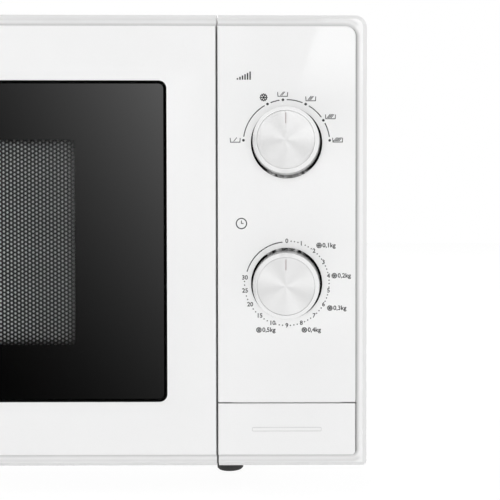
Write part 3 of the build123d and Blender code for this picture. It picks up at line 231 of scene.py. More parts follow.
def patterned(name, stops, size, roughness, metallic=0.0, bump=0.2):
    # Cells of a crystal, flake or spangle: size in mm, one shade for each cell.
    material, tree, shader = newMaterial(name, {"Metallic": metallic})
    place = addNode(tree, "ShaderNodeTexCoord").outputs["Object"]
    cells = addNode(tree, "ShaderNodeTexVoronoi",
                    {"Vector": place, "Scale": 1 / (size * mm), "Randomness": 1.0})
    shade = addNode(tree, "ShaderNodeSeparateColor", {"Color": cells.outputs["Color"]}).outputs
    ramp = addNode(tree, "ShaderNodeValToRGB", {"Fac": shade[0]})
    setRamp(ramp, stops)
    spread = finishSpec["cellSpread"]
    gloss = addNode(tree, "ShaderNodeMapRange",
                    {"Value": shade[1], "To Min": roughness - spread, "To Max": roughness + spread})
    relief = addNode(tree, "ShaderNodeBump",
                     {"Height": shade[2], "Strength": bump, "Distance": finishSpec["relief"]})
    feed(shader, {"Base Color": ramp, "Roughness": gloss, "Normal": relief})
    return material


def lined(name, dark, light, pitch, axis, roughness, metallic, bump=0.3, depth=0.05):
    # Fine parallel lines of a brushed, wound or stacked surface: pitch and depth in mm, along one axis.
    material, tree, shader = newMaterial(name, {"Metallic": metallic, "Roughness": roughness})
    place = addNode(tree, "ShaderNodeTexCoord").outputs["Object"]
    bands = addNode(tree, "ShaderNodeTexWave",
                    {"Vector": place, "Scale": math.pi / (10 * pitch * mm), "Distortion": 0.6,
                     "Detail": 2.0, "Detail Scale": 1.5}, bands_direction=axis).outputs["Fac"]
    ramp = addNode(tree, "ShaderNodeValToRGB", {"Fac": bands})
    setRamp(ramp, [(0.0, dark), (1.0, light)])
    relief = addNode(tree, "ShaderNodeBump", {"Height": bands, "Strength": bump, "Distance": depth * mm})
    feed(shader, {"Base Color": ramp, "Normal": relief})
    return material


def clearGlass(name, tint, roughness, ior=1.5):
    # Lets lamps through, so that what lies behind it is lit.
    material, tree, shader = newMaterial(name, {
        "Roughness": roughness, "IOR": ior, "Transmission Weight": 1.0, "Base Color": linear(tint)})
    place = addNode(tree, "ShaderNodeTexCoord").outputs["Object"]
    waves = addNode(tree, "ShaderNodeTexNoise",
                    {"Vector": place, "Scale": 1 / finishSpec["waves"], "Detail": 1.0})
    relief = addNode(tree, "ShaderNodeBump", {"Height": waves.outputs["Fac"], "Strength": 0.05,
                                              "Distance": finishSpec["waveRelief"]})
    feed(shader, {"Normal": relief})
    path = addNode(tree, "ShaderNodeLightPath").outputs
    through = addNode(tree, "ShaderNodeBsdfTransparent", {"Color": linear(tint)})
    mix = addNode(tree, "ShaderNodeMixShader", {0: path["Is Shadow Ray"], 1: shader, 2: through})
    feed(tree.nodes["Material Output"], {"Surface": mix})
    return material


capSpec = {
    "groove": 0.16 * mm,       # wider than real ones, to show
    "relief": 0.02 * mm,
    "fans": (3.0, 5.0),        # fans of painted sheen to a turn, in two sets
    "turn": 0.8,               # of the second set from the first, in radians
}


def spunMetal(name, dark, light, centre, spec):
    # Turned on a lathe: rings round the middle scatter light across them. Painted sheen: soft bright and dark
    # fans run out from the middle.
    material, tree, shader = newMaterial(name, {"Metallic": 1.0, "Roughness": 0.24})
    place = addNode(tree, "ShaderNodeTexCoord").outputs["Object"]
    moved = addNode(tree, "ShaderNodeMapping", {"Vector": place, "Location": (-centre.x, 0, -centre.z)})
    flat = addNode(tree, "ShaderNodeSeparateXYZ", {"Vector": moved}).outputs
    across = addNode(tree, "ShaderNodeCombineXYZ", {0: flat[0], 1: flat[2]})
    radius = addNode(tree, "ShaderNodeVectorMath", {0: across}, operation="LENGTH").outputs["Value"]
    rings = addNode(tree, "ShaderNodeTexNoise", {"W": radius, "Scale": 1 / spec["groove"], "Detail": 2.0},
                    noise_dimensions="1D").outputs["Fac"]
    angle = addNode(tree, "ShaderNodeMath", {0: flat[2], 1: flat[0]}, operation="ARCTAN2")
    first = addNode(tree, "ShaderNodeMath", {0: angle, 1: spec["fans"][0]}, operation="MULTIPLY")
    second = addNode(tree, "ShaderNodeMath", {0: angle, 1: spec["fans"][1], 2: spec["turn"]},
                     operation="MULTIPLY_ADD")
    wave, finer = [addNode(tree, "ShaderNodeMath", {0: fans}, operation="SINE") for fans in (first, second)]
    both = addNode(tree, "ShaderNodeMath", {0: wave, 1: finer}, operation="ADD")
    level = addNode(tree, "ShaderNodeMapRange", {"Value": both, "From Min": -2.0, "From Max": 2.0})
    ramp = addNode(tree, "ShaderNodeValToRGB", {"Fac": level})
    setRamp(ramp, [(0.0, dark), (1.0, light)])
    relief = addNode(tree, "ShaderNodeBump", {"Height": rings, "Strength": 0.25, "Distance": spec["relief"]})
    feed(shader, {"Base Color": ramp, "Normal": relief})
    return material


skirtSpec = {
    "deep": 22 * mm,                                   # length of the ramp, from the face forwards
    "streak": 2 * mm, "streakShift": 0.03,             # shifts are shares of that length
    "ends": (10 * mm, 17.5 * mm), "endShift": 0.015,   # above and below the middle the painted dark reflection is shorter
    "stops": [(0.0, "#060606"), (0.122, "#060606"), (0.13, "#b8b8b8"), (0.5, "#cccccc"), (0.86, "#dedede"),
              (0.94, "#f0f0f0")],
}


def chromeSkirt(name, middle, spec):
    # Plated plastic on a black collar, with painted reflection: dark where the skirt leaves the collar,
    # growing bright towards the rim.
    material, tree, shader = newMaterial(name, {"Metallic": 1.0, "Roughness": 0.2})
    parts = placeParts(tree)
    height = addNode(tree, "ShaderNodeMapRange",
                     {"Value": parts[1], "From Min": faceY, "From Max": faceY - spec["deep"]})
    place = addNode(tree, "ShaderNodeTexCoord").outputs["Object"]
    streaks = addNode(tree, "ShaderNodeTexNoise",
                      {"Vector": place, "Scale": 1 / spec["streak"], "Detail": 2.0})
    uneven = addNode(tree, "ShaderNodeMath", {0: streaks.outputs["Fac"], 1: spec["streakShift"], 2: height},
                     operation="MULTIPLY_ADD")
    off = addNode(tree, "ShaderNodeMath", {0: parts[2], 1: middle.z}, operation="SUBTRACT")
    away = addNode(tree, "ShaderNodeMath", {0: off}, operation="ABSOLUTE")
    ends = softEdges(tree, (away,), [(0, *spec["ends"], 0.0, spec["endShift"])], "ADD")
    level = addNode(tree, "ShaderNodeMath", {0: uneven, 1: ends}, operation="ADD")
    ramp = addNode(tree, "ShaderNodeValToRGB", {"Fac": level})
    setRamp(ramp, spec["stops"])
    feed(shader, {"Base Color": ramp, "Specular Tint": ramp})
    return material


def darken(material, shade):
    tree = material.node_tree
    shader = tree.nodes["Principled BSDF"]
    colour = shader.inputs["Base Color"].links[0].from_socket
    shaded = addNode(tree, "ShaderNodeVectorMath", {0: colour, 1: shade}, operation="MULTIPLY")
    feed(shader, {"Base Color": shaded})


borderSpec = {
    "half": (213.6 * mm, 116.6 * mm), "middle": 137 * mm,    # raised face, from its middle
    "corners": (2.1 * mm, 5.6 * mm),                         # its lower and upper corners
    "change": 50 * mm,                                       # from the middle, where they change over
    "mitre": 2 * mm,                                         # where sides and ends meet
    "reach": 8 * mm,                                         # width that the stops are shares of
    # Painted shade, as stops along the reach: on the sides, and on the top and bottom
    "sides": [(0.0, "#ffffff"), (0.01, "#bcbcbc"), (0.07, "#b0b0b0"), (0.12, "#d0d0d0"), (0.2, "#e8e8e8"),
              (0.33, "#ffffff")],
    "ends": [(0.0, "#ffffff"), (0.01, "#dedede"), (0.12, "#e1e1e1"), (0.3, "#f4f4f4"), (0.5, "#e9e9e9"),
             (0.66, "#ffffff")],
}


def shadeBorder(material, spec):
    # Painted shade on the border round the raised face: darkest at the foot of its step, lighter further out.
    tree = material.node_tree
    parts = placeParts(tree)
    rise = addNode(tree, "ShaderNodeMath", {0: parts[2], 1: spec["middle"]}, operation="SUBTRACT")
    corner = softEdges(tree, (rise,), [(0, -spec["change"], spec["change"], *spec["corners"])], "ADD")
    past, squares = [], []
    for source, half in zip((parts[0], rise), spec["half"]):
        size = addNode(tree, "ShaderNodeMath", {0: source}, operation="ABSOLUTE")
        over = addNode(tree, "ShaderNodeMath", {0: size, 1: half}, operation="SUBTRACT")
        past.append(addNode(tree, "ShaderNodeMath", {0: over, 1: corner}, operation="ADD"))
        kept = addNode(tree, "ShaderNodeMath", {0: past[-1], 1: 0.0}, operation="MAXIMUM")
        squares.append(addNode(tree, "ShaderNodeMath", {0: kept, 1: 2.0}, operation="POWER"))
    total = addNode(tree, "ShaderNodeMath", {0: squares[0], 1: squares[1]}, operation="ADD")
    root = addNode(tree, "ShaderNodeMath", {0: total, 1: 0.5}, operation="POWER")
    away = addNode(tree, "ShaderNodeMath", {0: root, 1: corner}, operation="SUBTRACT")
    away = addNode(tree, "ShaderNodeMath", {0: away, 1: 1 / spec["reach"]}, operation="MULTIPLY")
    ramps = []
    for stops in (spec["sides"], spec["ends"]):
        ramps.append(addNode(tree, "ShaderNodeValToRGB", {"Fac": away}))
        setRamp(ramps[-1], stops)
    lead = addNode(tree, "ShaderNodeMath", {0: past[1], 1: past[0]}, operation="SUBTRACT")
    turn = softEdges(tree, (lead,), [(0, -spec["mitre"], spec["mitre"], 0.0, 1.0)], "ADD")
    shade = addNode(tree, "ShaderNodeMix", {0: turn, 6: ramps[0], 7: ramps[1]}, data_type="RGBA")
    darken(material, shade.outputs[2])


grooveSpec = {"start": 0.03 * mm, "end": 0.3 * mm, "stops": [(0.0, "#ffffff"), (1.0, "#eeeeee")]}


def shadeGroove(material, spec):
    # Painted shade on whatever lies behind the face, such as the groove of the touch bar.
    tree = material.node_tree
    depth = [(1, faceY + spec["start"], faceY + spec["end"], 0.0, 1.0)]
    ramp = addNode(tree, "ShaderNodeValToRGB", {"Fac": softEdges(tree, placeParts(tree), depth, "ADD")})
    setRamp(ramp, spec["stops"])
    darken(material, ramp)


filmSpec = {
    # Painted shade: across (0) or up (2), where it starts, where it is darkest, and the level at both.
    "fades": [(0, -20 * mm, 60 * mm, 1.0, 0.4), (0, -55 * mm, -135 * mm, 1.0, 0.4),
              (0, 49 * mm, 54 * mm, 1.0, 0.25), (0, -125 * mm, -130 * mm, 1.0, 0.25),
              (2, 191.8 * mm, 194.5 * mm, 1.0, 0.35), (2, 80.5 * mm, 77 * mm, 1.0, 0.25)],
}


def shadeFilm(material, spec):
    # Painted shade on the film near the edges of the window and across it, where the printing keeps the light
    # off.
    tree = material.node_tree
    darken(material, softEdges(tree, placeParts(tree), spec["fades"], "MULTIPLY"))


# Materials, each named for what it is and how it was made

# Smooth, bright skin of a polished tool
whiteMoulding = grainy("whiteGlossMouldedAbs", "#f1f1f1", "#f4f4f4", 0.6, 0.015, 0.03, 0.01, shine=0.25)
# Painted shade on the border round the raised face
shadeBorder(whiteMoulding, borderSpec)
# As the panel, with painted shade in its grooves
whiteButton = grainy("whiteGlossButtonAbs", "#f1f1f1", "#f4f4f4", 0.6, 0.015, 0.03, 0.01, shine=0.25)
shadeGroove(whiteButton, grooveSpec)
# Fine orange peel at half gloss on the cover, flatter paint behind the door, pale speckled paint in the oven
whiteCoat = grainy("whitePowderCoatedSteel", "#eeeeec", "#f3f3f1", 0.9, 0.25, 0.38)
frontEnamel = grainy("whitePaintedSteel", "#e9e9e7", "#efefed", 0.8, 0.15, 0.3)
cavityPaint = grainy("greyCavityEnamel", "#d9dad8", "#e4e5e3", 0.5, 0.2, 0.3)
# Crystals of hot dip zinc
zincSteel = patterned("spangledZincSteel", [(0.0, "#b7babb"), (1.0, "#c5c8c9")], 4.0, 0.36, 1.0, 0.1)
# Dull, slightly dusty rubber, a bead that swallows the light in its gap, and a satin moulding
blackRubber = grainy("blackMouldedRubber", "#1c1c1c", "#2a2a2a", 0.4, 0.3, 0.6)
blackSealant = grainy("blackSiliconeBead", "#020202", "#050505", 0.4, 0.1, 0.6, shine=0.05)
blackNylon = grainy("blackMouldedNylon", "#161616", "#222222", 0.35, 0.15, 0.42)
# Clear, and bloomed so that the window of the door hardly mirrors. The plate is a little greener.
doorGlassLook = clearGlass("temperedFloatGlass", "#f2f3f3", 0.0, 1.25)
plateGlassLook = clearGlass("pressedTurntableGlass", "#f2f7f5", 0.03)
lampGlass = clearGlass("blownLampGlass", "#fbfaf4", 0.02)
# Dense printing as glossy as the glass, and a matt one that swallows the light round it
glossPrint = grainy("firedBlackGlassEnamel", "#020202", "#040404", 0.3, 0.0, 0.03, spread=0.01)
mattPrint = grainy("screenPrintedBlackInk", "#020202", "#040404", 0.3, 0.05, 0.5, shine=0.0)
# Thin black paint on pierced steel, and the milky sheet behind its holes
screenPaint = grainy("blackEnamelledScreen", "#0d0d0d", "#141414", 0.4, 0.15, 0.5, shine=0.2)
filmLook = grainy("frostedPetFilm", "#a0a09f", "#acacab", 1.2, 0.05, 0.4, shine=0.2)
# Painted shade on the film near the edges of the window
shadeFilm(filmLook, filmSpec)
# Dull dark, waxy white and creamy unpainted plastic, and a hard black moulding
chokePlastic = grainy("darkGreyPolypropylene", "#2b2c2e", "#37383a", 0.5, 0.2, 0.45)
whiteAcetal = grainy("whiteMouldedAcetal", "#e6e6e0", "#eeeee8", 0.4, 0.08, 0.34)
beigeNylon = grainy("naturalNylon", "#d8d2c0", "#e2dccb", 0.4, 0.1, 0.38)
blackPhenolic = grainy("blackPhenolicMoulding", "#19191a", "#272728", 0.4, 0.12, 0.36)
# Lines of the die, the lathe, the stacked sheets and the winding
springSteel = lined("drawnSpringSteel", "#8b8e92", "#c3c6c9", 0.12, "X", 0.3, 1.0)
turnedSteel = lined("turnedSteelShaft", "#9a9da0", "#c8cacc", 0.15, "Y", 0.28, 1.0)
drawnAluminium = lined("drawnAluminiumCan", "#a7a9ab", "#c9cbcc", 0.3, "Z", 0.3, 1.0)
ironStack = lined("stackedIronSheets", "#4b4a48", "#6d6b68", 0.5, "X", 0.5, 0.8)
copperCoil = lined("varnishedCopperWire", "#7a3d1c", "#b9683a", 0.9, "Z", 0.34, 0.9, 0.8, 0.3)
# Pale flakes, grey sintered grain, satin fins and a green mask over copper
mica = patterned("pressedMicaSheet", [(0.0, "#b9a98a"), (0.5, "#cbbd9f"), (1.0, "#ddd2b8")], 1.8, 0.45)
ferrite = grainy("sinteredFerrite", "#26272a", "#36373b", 0.3, 0.3, 0.55)
finAluminium = grainy("pressedAluminiumFins", "#a4a6a8", "#bcbec0", 0.5, 0.2, 0.36, metallic=1.0)
boardGreen = patterned("greenSolderMask", [(0.0, "#1c5a33"), (1.0, "#2a7344")], 3.0, 0.3, bump=0.1)
# Matt printing ink on the panel, and paler paint in the pointers
inkLook = grainy("darkGreyPadPrint", "#363738", "#424344", 0.25, 0.05, 0.5, shine=0.2)
pointerInk = grainy("greyPointerFill", "#a69b9c", "#b3a9aa", 0.2, 0.05, 0.5)
# Spun caps with painted sheen in soft fans, the lower one painted a little brighter for the light on it, on
# plated skirts with a black collar and painted dark reflection at the foot
powerCapLook = spunMetal("spunAluminiumPowerCap", "#d5d5d5", "#e5e5e5", powerCentre, capSpec)
timerCapLook = spunMetal("spunAluminiumTimerCap", "#dcdcdc", "#eeeeee", timerCentre, capSpec)
powerSkirtLook = chromeSkirt("platedPowerKnobSkirt", powerCentre, skirtSpec)
timerSkirtLook = chromeSkirt("platedTimerKnobSkirt", timerCentre, skirtSpec)

nodeLooks = {
    "outer_cover": whiteCoat, "base_plate": zincSteel, "rear_panel": zincSteel, "front_plate": frontEnamel,
    "feet": blackRubber, "cover_screws": turnedSteel, "cord_gland": blackNylon, "cavity_wrap": cavityPaint,
    "cavity_floor": cavityPaint, "cavity_back": cavityPaint, "waveguide": zincSteel, "waveguide_cover": mica,
    "magnetron_yoke": zincSteel, "magnetron_magnets": ferrite, "magnetron_core": finAluminium,
    "magnetron_antenna": drawnAluminium, "magnetron_filter_box": zincSteel, "transformer_core": ironStack,
    "transformer_windings": copperCoil, "hv_capacitor": drawnAluminium, "capacitor_clamp": zincSteel,
    "hv_diode": blackPhenolic, "fan_housing": blackNylon, "fan_motor": ironStack, "fan_shaft": turnedSteel,
    "fan_blade": beigeNylon, "cavity_lamp": lampGlass, "thermal_cutouts": blackPhenolic,
    "filter_board": boardGreen,
    "door_frame": whiteMoulding, "door_glass": doorGlassLook, "glass_seal": blackSealant,
    "door_screen": screenPaint, "door_film": filmLook, "choke_cover": chokePlastic, "door_latch": whiteAcetal,
    "latch_spring": springSteel, "hinge_brackets": zincSteel, "control_panel": whiteMoulding,
    "door_button": whiteButton, "button_spring": springSteel, "power_knob": powerSkirtLook,
    "power_knob_cap": powerCapLook, "power_shaft": turnedSteel, "power_selector": blackPhenolic,
    "timer_knob": timerSkirtLook, "timer_knob_cap": timerCapLook, "timer_shaft": turnedSteel,
    "timer_body": zincSteel, "release_lever": whiteAcetal, "interlock_bracket": beigeNylon,
    "interlock_switches": blackPhenolic, "turntable_plate": plateGlassLook, "turntable_coupler": beigeNylon,
    "turntable_shaft": beigeNylon, "turntable_motor": zincSteel, "roller_ring": whiteAcetal,
    "roller_1": whiteAcetal, "roller_2": whiteAcetal, "roller_3": whiteAcetal,
}


def dress(piece, material):
    piece.data.materials.clear()
    piece.data.materials.append(material)


for name, piece in nodes.items():
    dress(piece, nodeLooks[name])
print("materials on", len(nodeLooks), "nodes")


# Pierced screen of the door

screenSpec = {
    "pitch": 2.41 * mm,        # hole to hole, straight up
    "hole": 0.79 * mm,         # corner radius of a hole
    "pairs": 49,               # columns come in pairs, the second half a pitch higher
    "rows": 51,
    "middle": (-37.16 * mm, 136.48 * mm),
    "thickness": 0.7 * mm,
    "lap": 1.5 * mm,           # how far the plain rim reaches over the outermost cells
    "inFront": 0.4 * mm,       # middle of the sheet from the film's front
    "near": 1 * mm,            # takes in both faces of the sheet
    "weld": 0.01 * mm,         # neighbouring cells share their corners
}


def piercedSheet(spec, sheetY):
    pitch, across = spec["pitch"], spec["pitch"] * math.sqrt(3) / 2
    startX = spec["middle"][0] - across * (spec["pairs"] - 0.5)
    startZ = spec["middle"][1] - pitch * (spec["rows"] - 0.5) / 2
    cells = []
    for step in (0, 1):
        clearSelection()
        place = (startX + step * across, sheetY, startZ + step * pitch / 2)
        bpy.ops.mesh.primitive_circle_add(vertices=6, radius=pitch / math.sqrt(3), fill_type="NGON",
                                          location=place, rotation=(math.pi / 2, math.pi / 6, 0))
        bpy.ops.object.mode_set(mode="EDIT")
        bpy.ops.mesh.select_all(action="SELECT")
        bpy.ops.mesh.inset(thickness=pitch / 2 - spec["hole"] * math.cos(math.pi / 6))
        bpy.ops.mesh.delete(type="FACE")
        bpy.ops.object.mode_set(mode="OBJECT")
        cells.append(bpy.context.object)
    sheet = joinPieces(cells, "pierced_sheet")
    for count, offset in ((spec["rows"], (0, 0, pitch)), (spec["pairs"], (2 * across, 0, 0))):
        array = sheet.modifiers.new("repeat", "ARRAY")
        array.use_relative_offset = False
        array.use_constant_offset = True
        array.count = count
        array.constant_offset_displace = offset
    weld = sheet.modifiers.new("weld", "WELD")
    weld.merge_threshold = spec["weld"]
    applyModifiers(sheet)
    makeActive(sheet)
    bpy.ops.object.mode_set(mode="EDIT")
    leaveEdit()
    thicken(sheet, spec["thickness"])
    return sheet


def screenRim(spec, sheetY):
    # The pressed channel and rim, with the middle of the flat sheet cut away for the holes.
    clearSelection()
    rim = nodes["door_screen"].copy()
    rim.data = nodes["door_screen"].data.copy()
    for key in list(rim.keys()):
        del rim[key]
    rim.parent = None
    bpy.context.scene.collection.objects.link(rim)
    makeActive(rim)
    bpy.ops.object.mode_set(mode="EDIT")
    bpy.ops.mesh.select_all(action="SELECT")
    bpy.ops.mesh.remove_doubles(threshold=weldGap)
    halfX = spec["pitch"] * math.sqrt(3) / 2 * spec["pairs"] - spec["lap"]
    halfZ = spec["pitch"] * spec["rows"] / 2 - spec["lap"]
    midX, midZ = spec["middle"]
    cutSides(midX - halfX, midX + halfX, midZ - halfZ, midZ + halfZ)
    bpy.ops.object.mode_set(mode="OBJECT")
    selectFaces(rim, lambda spot: (abs(spot.x - midX) < halfX and abs(spot.z - midZ) < halfZ
                                   and abs(spot.y - sheetY) < spec["near"]))
    bpy.ops.mesh.delete(type="FACE")
    bpy.ops.mesh.select_mode(type="EDGE")
    bpy.ops.mesh.select_all(action="DESELECT")
    bpy.ops.mesh.select_non_manifold(extend=False, use_boundary=True, use_wire=False, use_multi_face=False,
                                     use_non_contiguous=False, use_verts=False)
    bpy.ops.mesh.bridge_edge_loops()
    leaveEdit()
    return rim


sheetY = screenBox[1].y
for vertex in nodes["door_film"].data.vertices:
    sheetY = min(sheetY, vertex.co.y)
sheetY -= screenSpec["inFront"]
screen = joinPieces([screenRim(screenSpec, sheetY), piercedSheet(screenSpec, sheetY)], "door_screen_pierced")
dress(screen, screenPaint)
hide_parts("door_screen")
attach(screen, "door")
print("screen:", len(screen.data.polygons), "faces")


# Springs of the button and the latch, between the two bodies they join

springSpec = {
    "turns": 5,
    "sides": 8,                # round wire
    "steps": 24,               # to a turn
    "smooth": 50,              # degrees, so that only the cut ends stay sharp
    "wires": {"button_spring": 0.5 * mm, "latch_spring": 0.4 * mm},     # half the wire's thickness
}


def coilSpring(spec, node, upright):
    low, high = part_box(node)
    middle = (low + high) / 2
    wire = spec["wires"][node]
    radius = (high.x - low.x) / 2 - wire
    length = (high.z - low.z if upright else high.y - low.y) - 2 * wire
    clearSelection()
    bpy.ops.mesh.primitive_circle_add(vertices=spec["sides"], radius=wire, location=(radius, 0, -length / 2),
                                      rotation=(math.pi / 2, 0, 0))
    coil = newPiece(node + "_coil")
    applyPlace()
    winding = coil.modifiers.new("winding", "SCREW")
    winding.axis = "Z"
    winding.iterations = spec["turns"]
    winding.screw_offset = length / spec["turns"]
    winding.steps = winding.render_steps = spec["steps"]
    applyModifiers(coil)
    bpy.ops.object.mode_set(mode="EDIT")
    bpy.ops.mesh.select_all(action="SELECT")
    bpy.ops.mesh.remove_doubles(threshold=weldGap)
    bpy.ops.mesh.fill_holes(sides=spec["sides"])
    leaveEdit()
    coil.rotation_euler = (0, 0, 0) if upright else (math.pi / 2, 0, 0)
    coil.location = middle
    applyPlace()
    bpy.ops.object.shade_smooth_by_angle(angle=math.radians(spec["smooth"]))
    dress(coil, springSteel)
    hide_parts(node)
    ends = [middle.copy(), middle.copy()]
    for end, corner in zip(ends, (low, high) if upright else (high, low)):
        if upright:
            end.z = corner.z
        else:
            end.y = corner.y
    return coil, ends


buttonCoil, (plateEnd, buttonEnd) = coilSpring(springSpec, "button_spring", False)
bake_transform(buttonCoil)
latchCoil, (doorEnd, latchEnd) = coilSpring(springSpec, "latch_spring", True)
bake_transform(latchCoil)
print("springs:", len(buttonCoil.data.polygons), "and", len(latchCoil.data.polygons), "faces")


# Black printing on both faces of the door glass, with a clear window

windowSpec = {
    "right": 61.52 * mm, "left": -136.6 * mm, "bottom": 80.73 * mm, "top": 192.03 * mm,
    # Each layer: behind the front of the glass, in from its edge, how much wider its window is, and its look
    "layers": [(-0.135 * mm, 0.9 * mm, 0.0, glossPrint), (-0.045 * mm, 0.5 * mm, 0.0, mattPrint),
               (3.05 * mm, 0.1 * mm, 1 * mm, mattPrint)],
    "ink": 0.08 * mm,
    "corner": 1.6 * mm, "outerCorner": 3.5 * mm, "segments": 5,
    "same": 0.01 * mm,         # how near to a side a point counts as on it
}


def roundCorners(sheet, box, corner, spec):
    # In edit mode, rounds the four points of the sheet at the corners of an upright box.
    left, right, bottom, top = box
    bpy.ops.mesh.select_mode(type="VERT")
    bpy.ops.mesh.select_all(action="DESELECT")
    bpy.ops.object.mode_set(mode="OBJECT")
    for vertex in sheet.data.vertices:
        onSide = min(abs(vertex.co.x - left), abs(vertex.co.x - right)) < spec["same"]
        onEnd = min(abs(vertex.co.z - bottom), abs(vertex.co.z - top)) < spec["same"]
        vertex.select = onSide and onEnd
    bpy.ops.object.mode_set(mode="EDIT")
    bpy.ops.mesh.bevel(offset=corner, segments=spec["segments"], affect="VERTICES")


def glassPrint(spec, printY, inset, wider):
    clearSelection()
    low, high = glassBox
    outer = (low.x + inset, high.x - inset, low.z + inset, high.z - inset)
    left, right = spec["left"] - wider, spec["right"] + wider
    bottom, top = spec["bottom"] - wider, spec["top"] + wider
    bpy.ops.mesh.primitive_plane_add(size=1, location=((low.x + high.x) / 2, printY, (low.z + high.z) / 2),
                                     rotation=(math.pi / 2, 0, 0))
    sheet = newPiece("door_glass_print")
    sheet.scale = (high.x - low.x - 2 * inset, high.z - low.z - 2 * inset, 1)
    applyPlace()
    bpy.ops.object.mode_set(mode="EDIT")
    cutSides(left, right, bottom, top)
    bpy.ops.object.mode_set(mode="OBJECT")
    selectFaces(sheet, lambda spot: left < spot.x < right and bottom < spot.z < top)
    bpy.ops.mesh.delete(type="FACE")
    roundCorners(sheet, (left, right, bottom, top), spec["corner"], spec)
    roundCorners(sheet, outer, spec["outerCorner"] - inset, spec)
    leaveEdit()
    thicken(sheet, spec["ink"])
    return sheet


layers = []
for behind, inset, wider, look in windowSpec["layers"]:
    layers.append(glassPrint(windowSpec, glassBox[0].y + behind, inset, wider))
    dress(layers[-1], look)
glassMask = joinPieces(layers, "door_glass_print")
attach(glassMask, "door")
print("glass printing:", len(glassMask.data.polygons), "faces")


# Printed scales and signs on the control panel

inkSpec = {
    "thickness": 0.03 * mm,
    "line": 0.55 * mm, "arcSteps": 16,
    "overrun": 0.6,            # how far a bar reaches past its ends, in widths
    "capHeight": 0.72,         # of the typeface, a share of its size
    "bold": 0.035,             # how far letters swell, a share of their height
    "curveSteps": 3,
}
inkY = faceY - inkSpec["thickness"] / 2


def onDial(x, z, radius, turn):
    # A point round a middle, clockwise from the top in degrees.
    angle = math.radians(turn)
    return x + radius * math.sin(angle), z + radius * math.cos(angle)


def printBar(x0, z0, x1, z1, width):
    clearSelection()
    length = math.hypot(x1 - x0, z1 - z0) + width * inkSpec["overrun"]
    bpy.ops.mesh.primitive_cube_add(size=1, location=((x0 + x1) / 2, inkY, (z0 + z1) / 2),
                                    rotation=(0, -math.atan2(z1 - z0, x1 - x0), 0),
                                    scale=(length, inkSpec["thickness"], width))
    return bpy.context.object


def printDot(x, z, radius, sides):
    clearSelection()
    bpy.ops.mesh.primitive_cylinder_add(vertices=sides, radius=radius, depth=inkSpec["thickness"],
                                        location=(x, inkY, z), rotation=(math.pi / 2, 0, 0))
    return bpy.context.object


def printArc(x, z, radius, start, end, width):
    # A small block end, spun round the middle.
    clearSelection()
    startX, startZ = onDial(x, z, radius, start)
    bpy.ops.mesh.primitive_plane_add(size=1, location=(startX, inkY, startZ))
    arc = bpy.context.object
    arc.scale = (width, inkSpec["thickness"], 1)
    bpy.ops.object.transform_apply(location=False, rotation=False, scale=True)
    arc.rotation_euler = (0, math.radians(start) - math.pi / 2, 0)
    applyPlace()
    bpy.ops.object.mode_set(mode="EDIT")
    bpy.ops.mesh.select_all(action="SELECT")
    bpy.ops.mesh.spin(steps=inkSpec["arcSteps"], angle=math.radians(end - start), center=(x, inkY, z),
                      axis=(0, -1, 0))
    bpy.ops.mesh.select_all(action="SELECT")
    bpy.ops.mesh.remove_doubles(threshold=weldGap)
    leaveEdit()
    return arc


def printWords(body, x, z, height, align="CENTER"):
    clearSelection()
    bpy.ops.object.text_add(location=(0, 0, 0))
    words = bpy.context.object
    words.data.body = body
    words.data.size = height / inkSpec["capHeight"]
    words.data.align_x = align
    words.data.align_y = "CENTER"
    words.data.resolution_u = inkSpec["curveSteps"]
    words.data.bevel_depth = inkSpec["bold"] * height
    words.data.bevel_resolution = 0
    bpy.ops.object.convert(target="MESH")
    words = bpy.context.object
    words.location = (x, inkY, z)
    words.rotation_euler = (math.pi / 2, 0, 0)
    words.scale = (1, 1, inkSpec["thickness"] / (2 * inkSpec["bold"] * height))
    applyPlace()
    return words


flakeSpec = {
    "arms": 6, "turn": 30, "spread": 54.431,                # degrees from the top, and from arm to twig
    "pen": 0.24, "fork": 0.56, "twig": 0.5,                 # shares of the radius
}


def snowflake(x, z, radius):
    bars = []
    pen = radius * flakeSpec["pen"]
    for arm in range(flakeSpec["arms"]):
        turn = 360 / flakeSpec["arms"] * arm + flakeSpec["turn"]
        bars.append(printBar(x, z, *onDial(x, z, radius, turn), pen))
        forkX, forkZ = onDial(x, z, radius * flakeSpec["fork"], turn)
        for side in (-flakeSpec["spread"], flakeSpec["spread"]):
            tip = onDial(forkX, forkZ, radius * flakeSpec["twig"], turn + side)
            bars.append(printBar(forkX, forkZ, *tip, pen))
    return bars


dishSpec = {
    "half": 2.7 * mm, "tall": 2.4 * mm, "pen": 0.42 * mm,
    "short": 0.1 * mm, "lean": 0.15 * mm, "wall": 0.9,      # base and walls from the half, height of a wall
    "step": 0.72 * mm, "reach": 0.8 * mm, "lift": 0.5 * mm, "strokePen": 0.85,
}


def dishSign(x, z, strokes, spec):
    # Open dish seen from the side, with one to five slanting strokes for the heat.
    half, tall, pen = spec["half"], spec["tall"], spec["pen"]
    foot = z - tall / 2
    base, lean, rim = half - spec["short"], half - spec["lean"], foot + tall * spec["wall"]
    bars = [printBar(x - base, foot, x + base, foot, pen),
            printBar(x - lean, foot, x - half, rim, pen),
            printBar(x + lean, foot, x + half, rim, pen)]
    for stroke in range(strokes):
        middle = x + (stroke - (strokes - 1) / 2) * spec["step"]
        bars.append(printBar(middle - spec["reach"], foot + spec["lift"], middle + spec["reach"], foot + tall,
                             pen * spec["strokePen"]))
    return bars


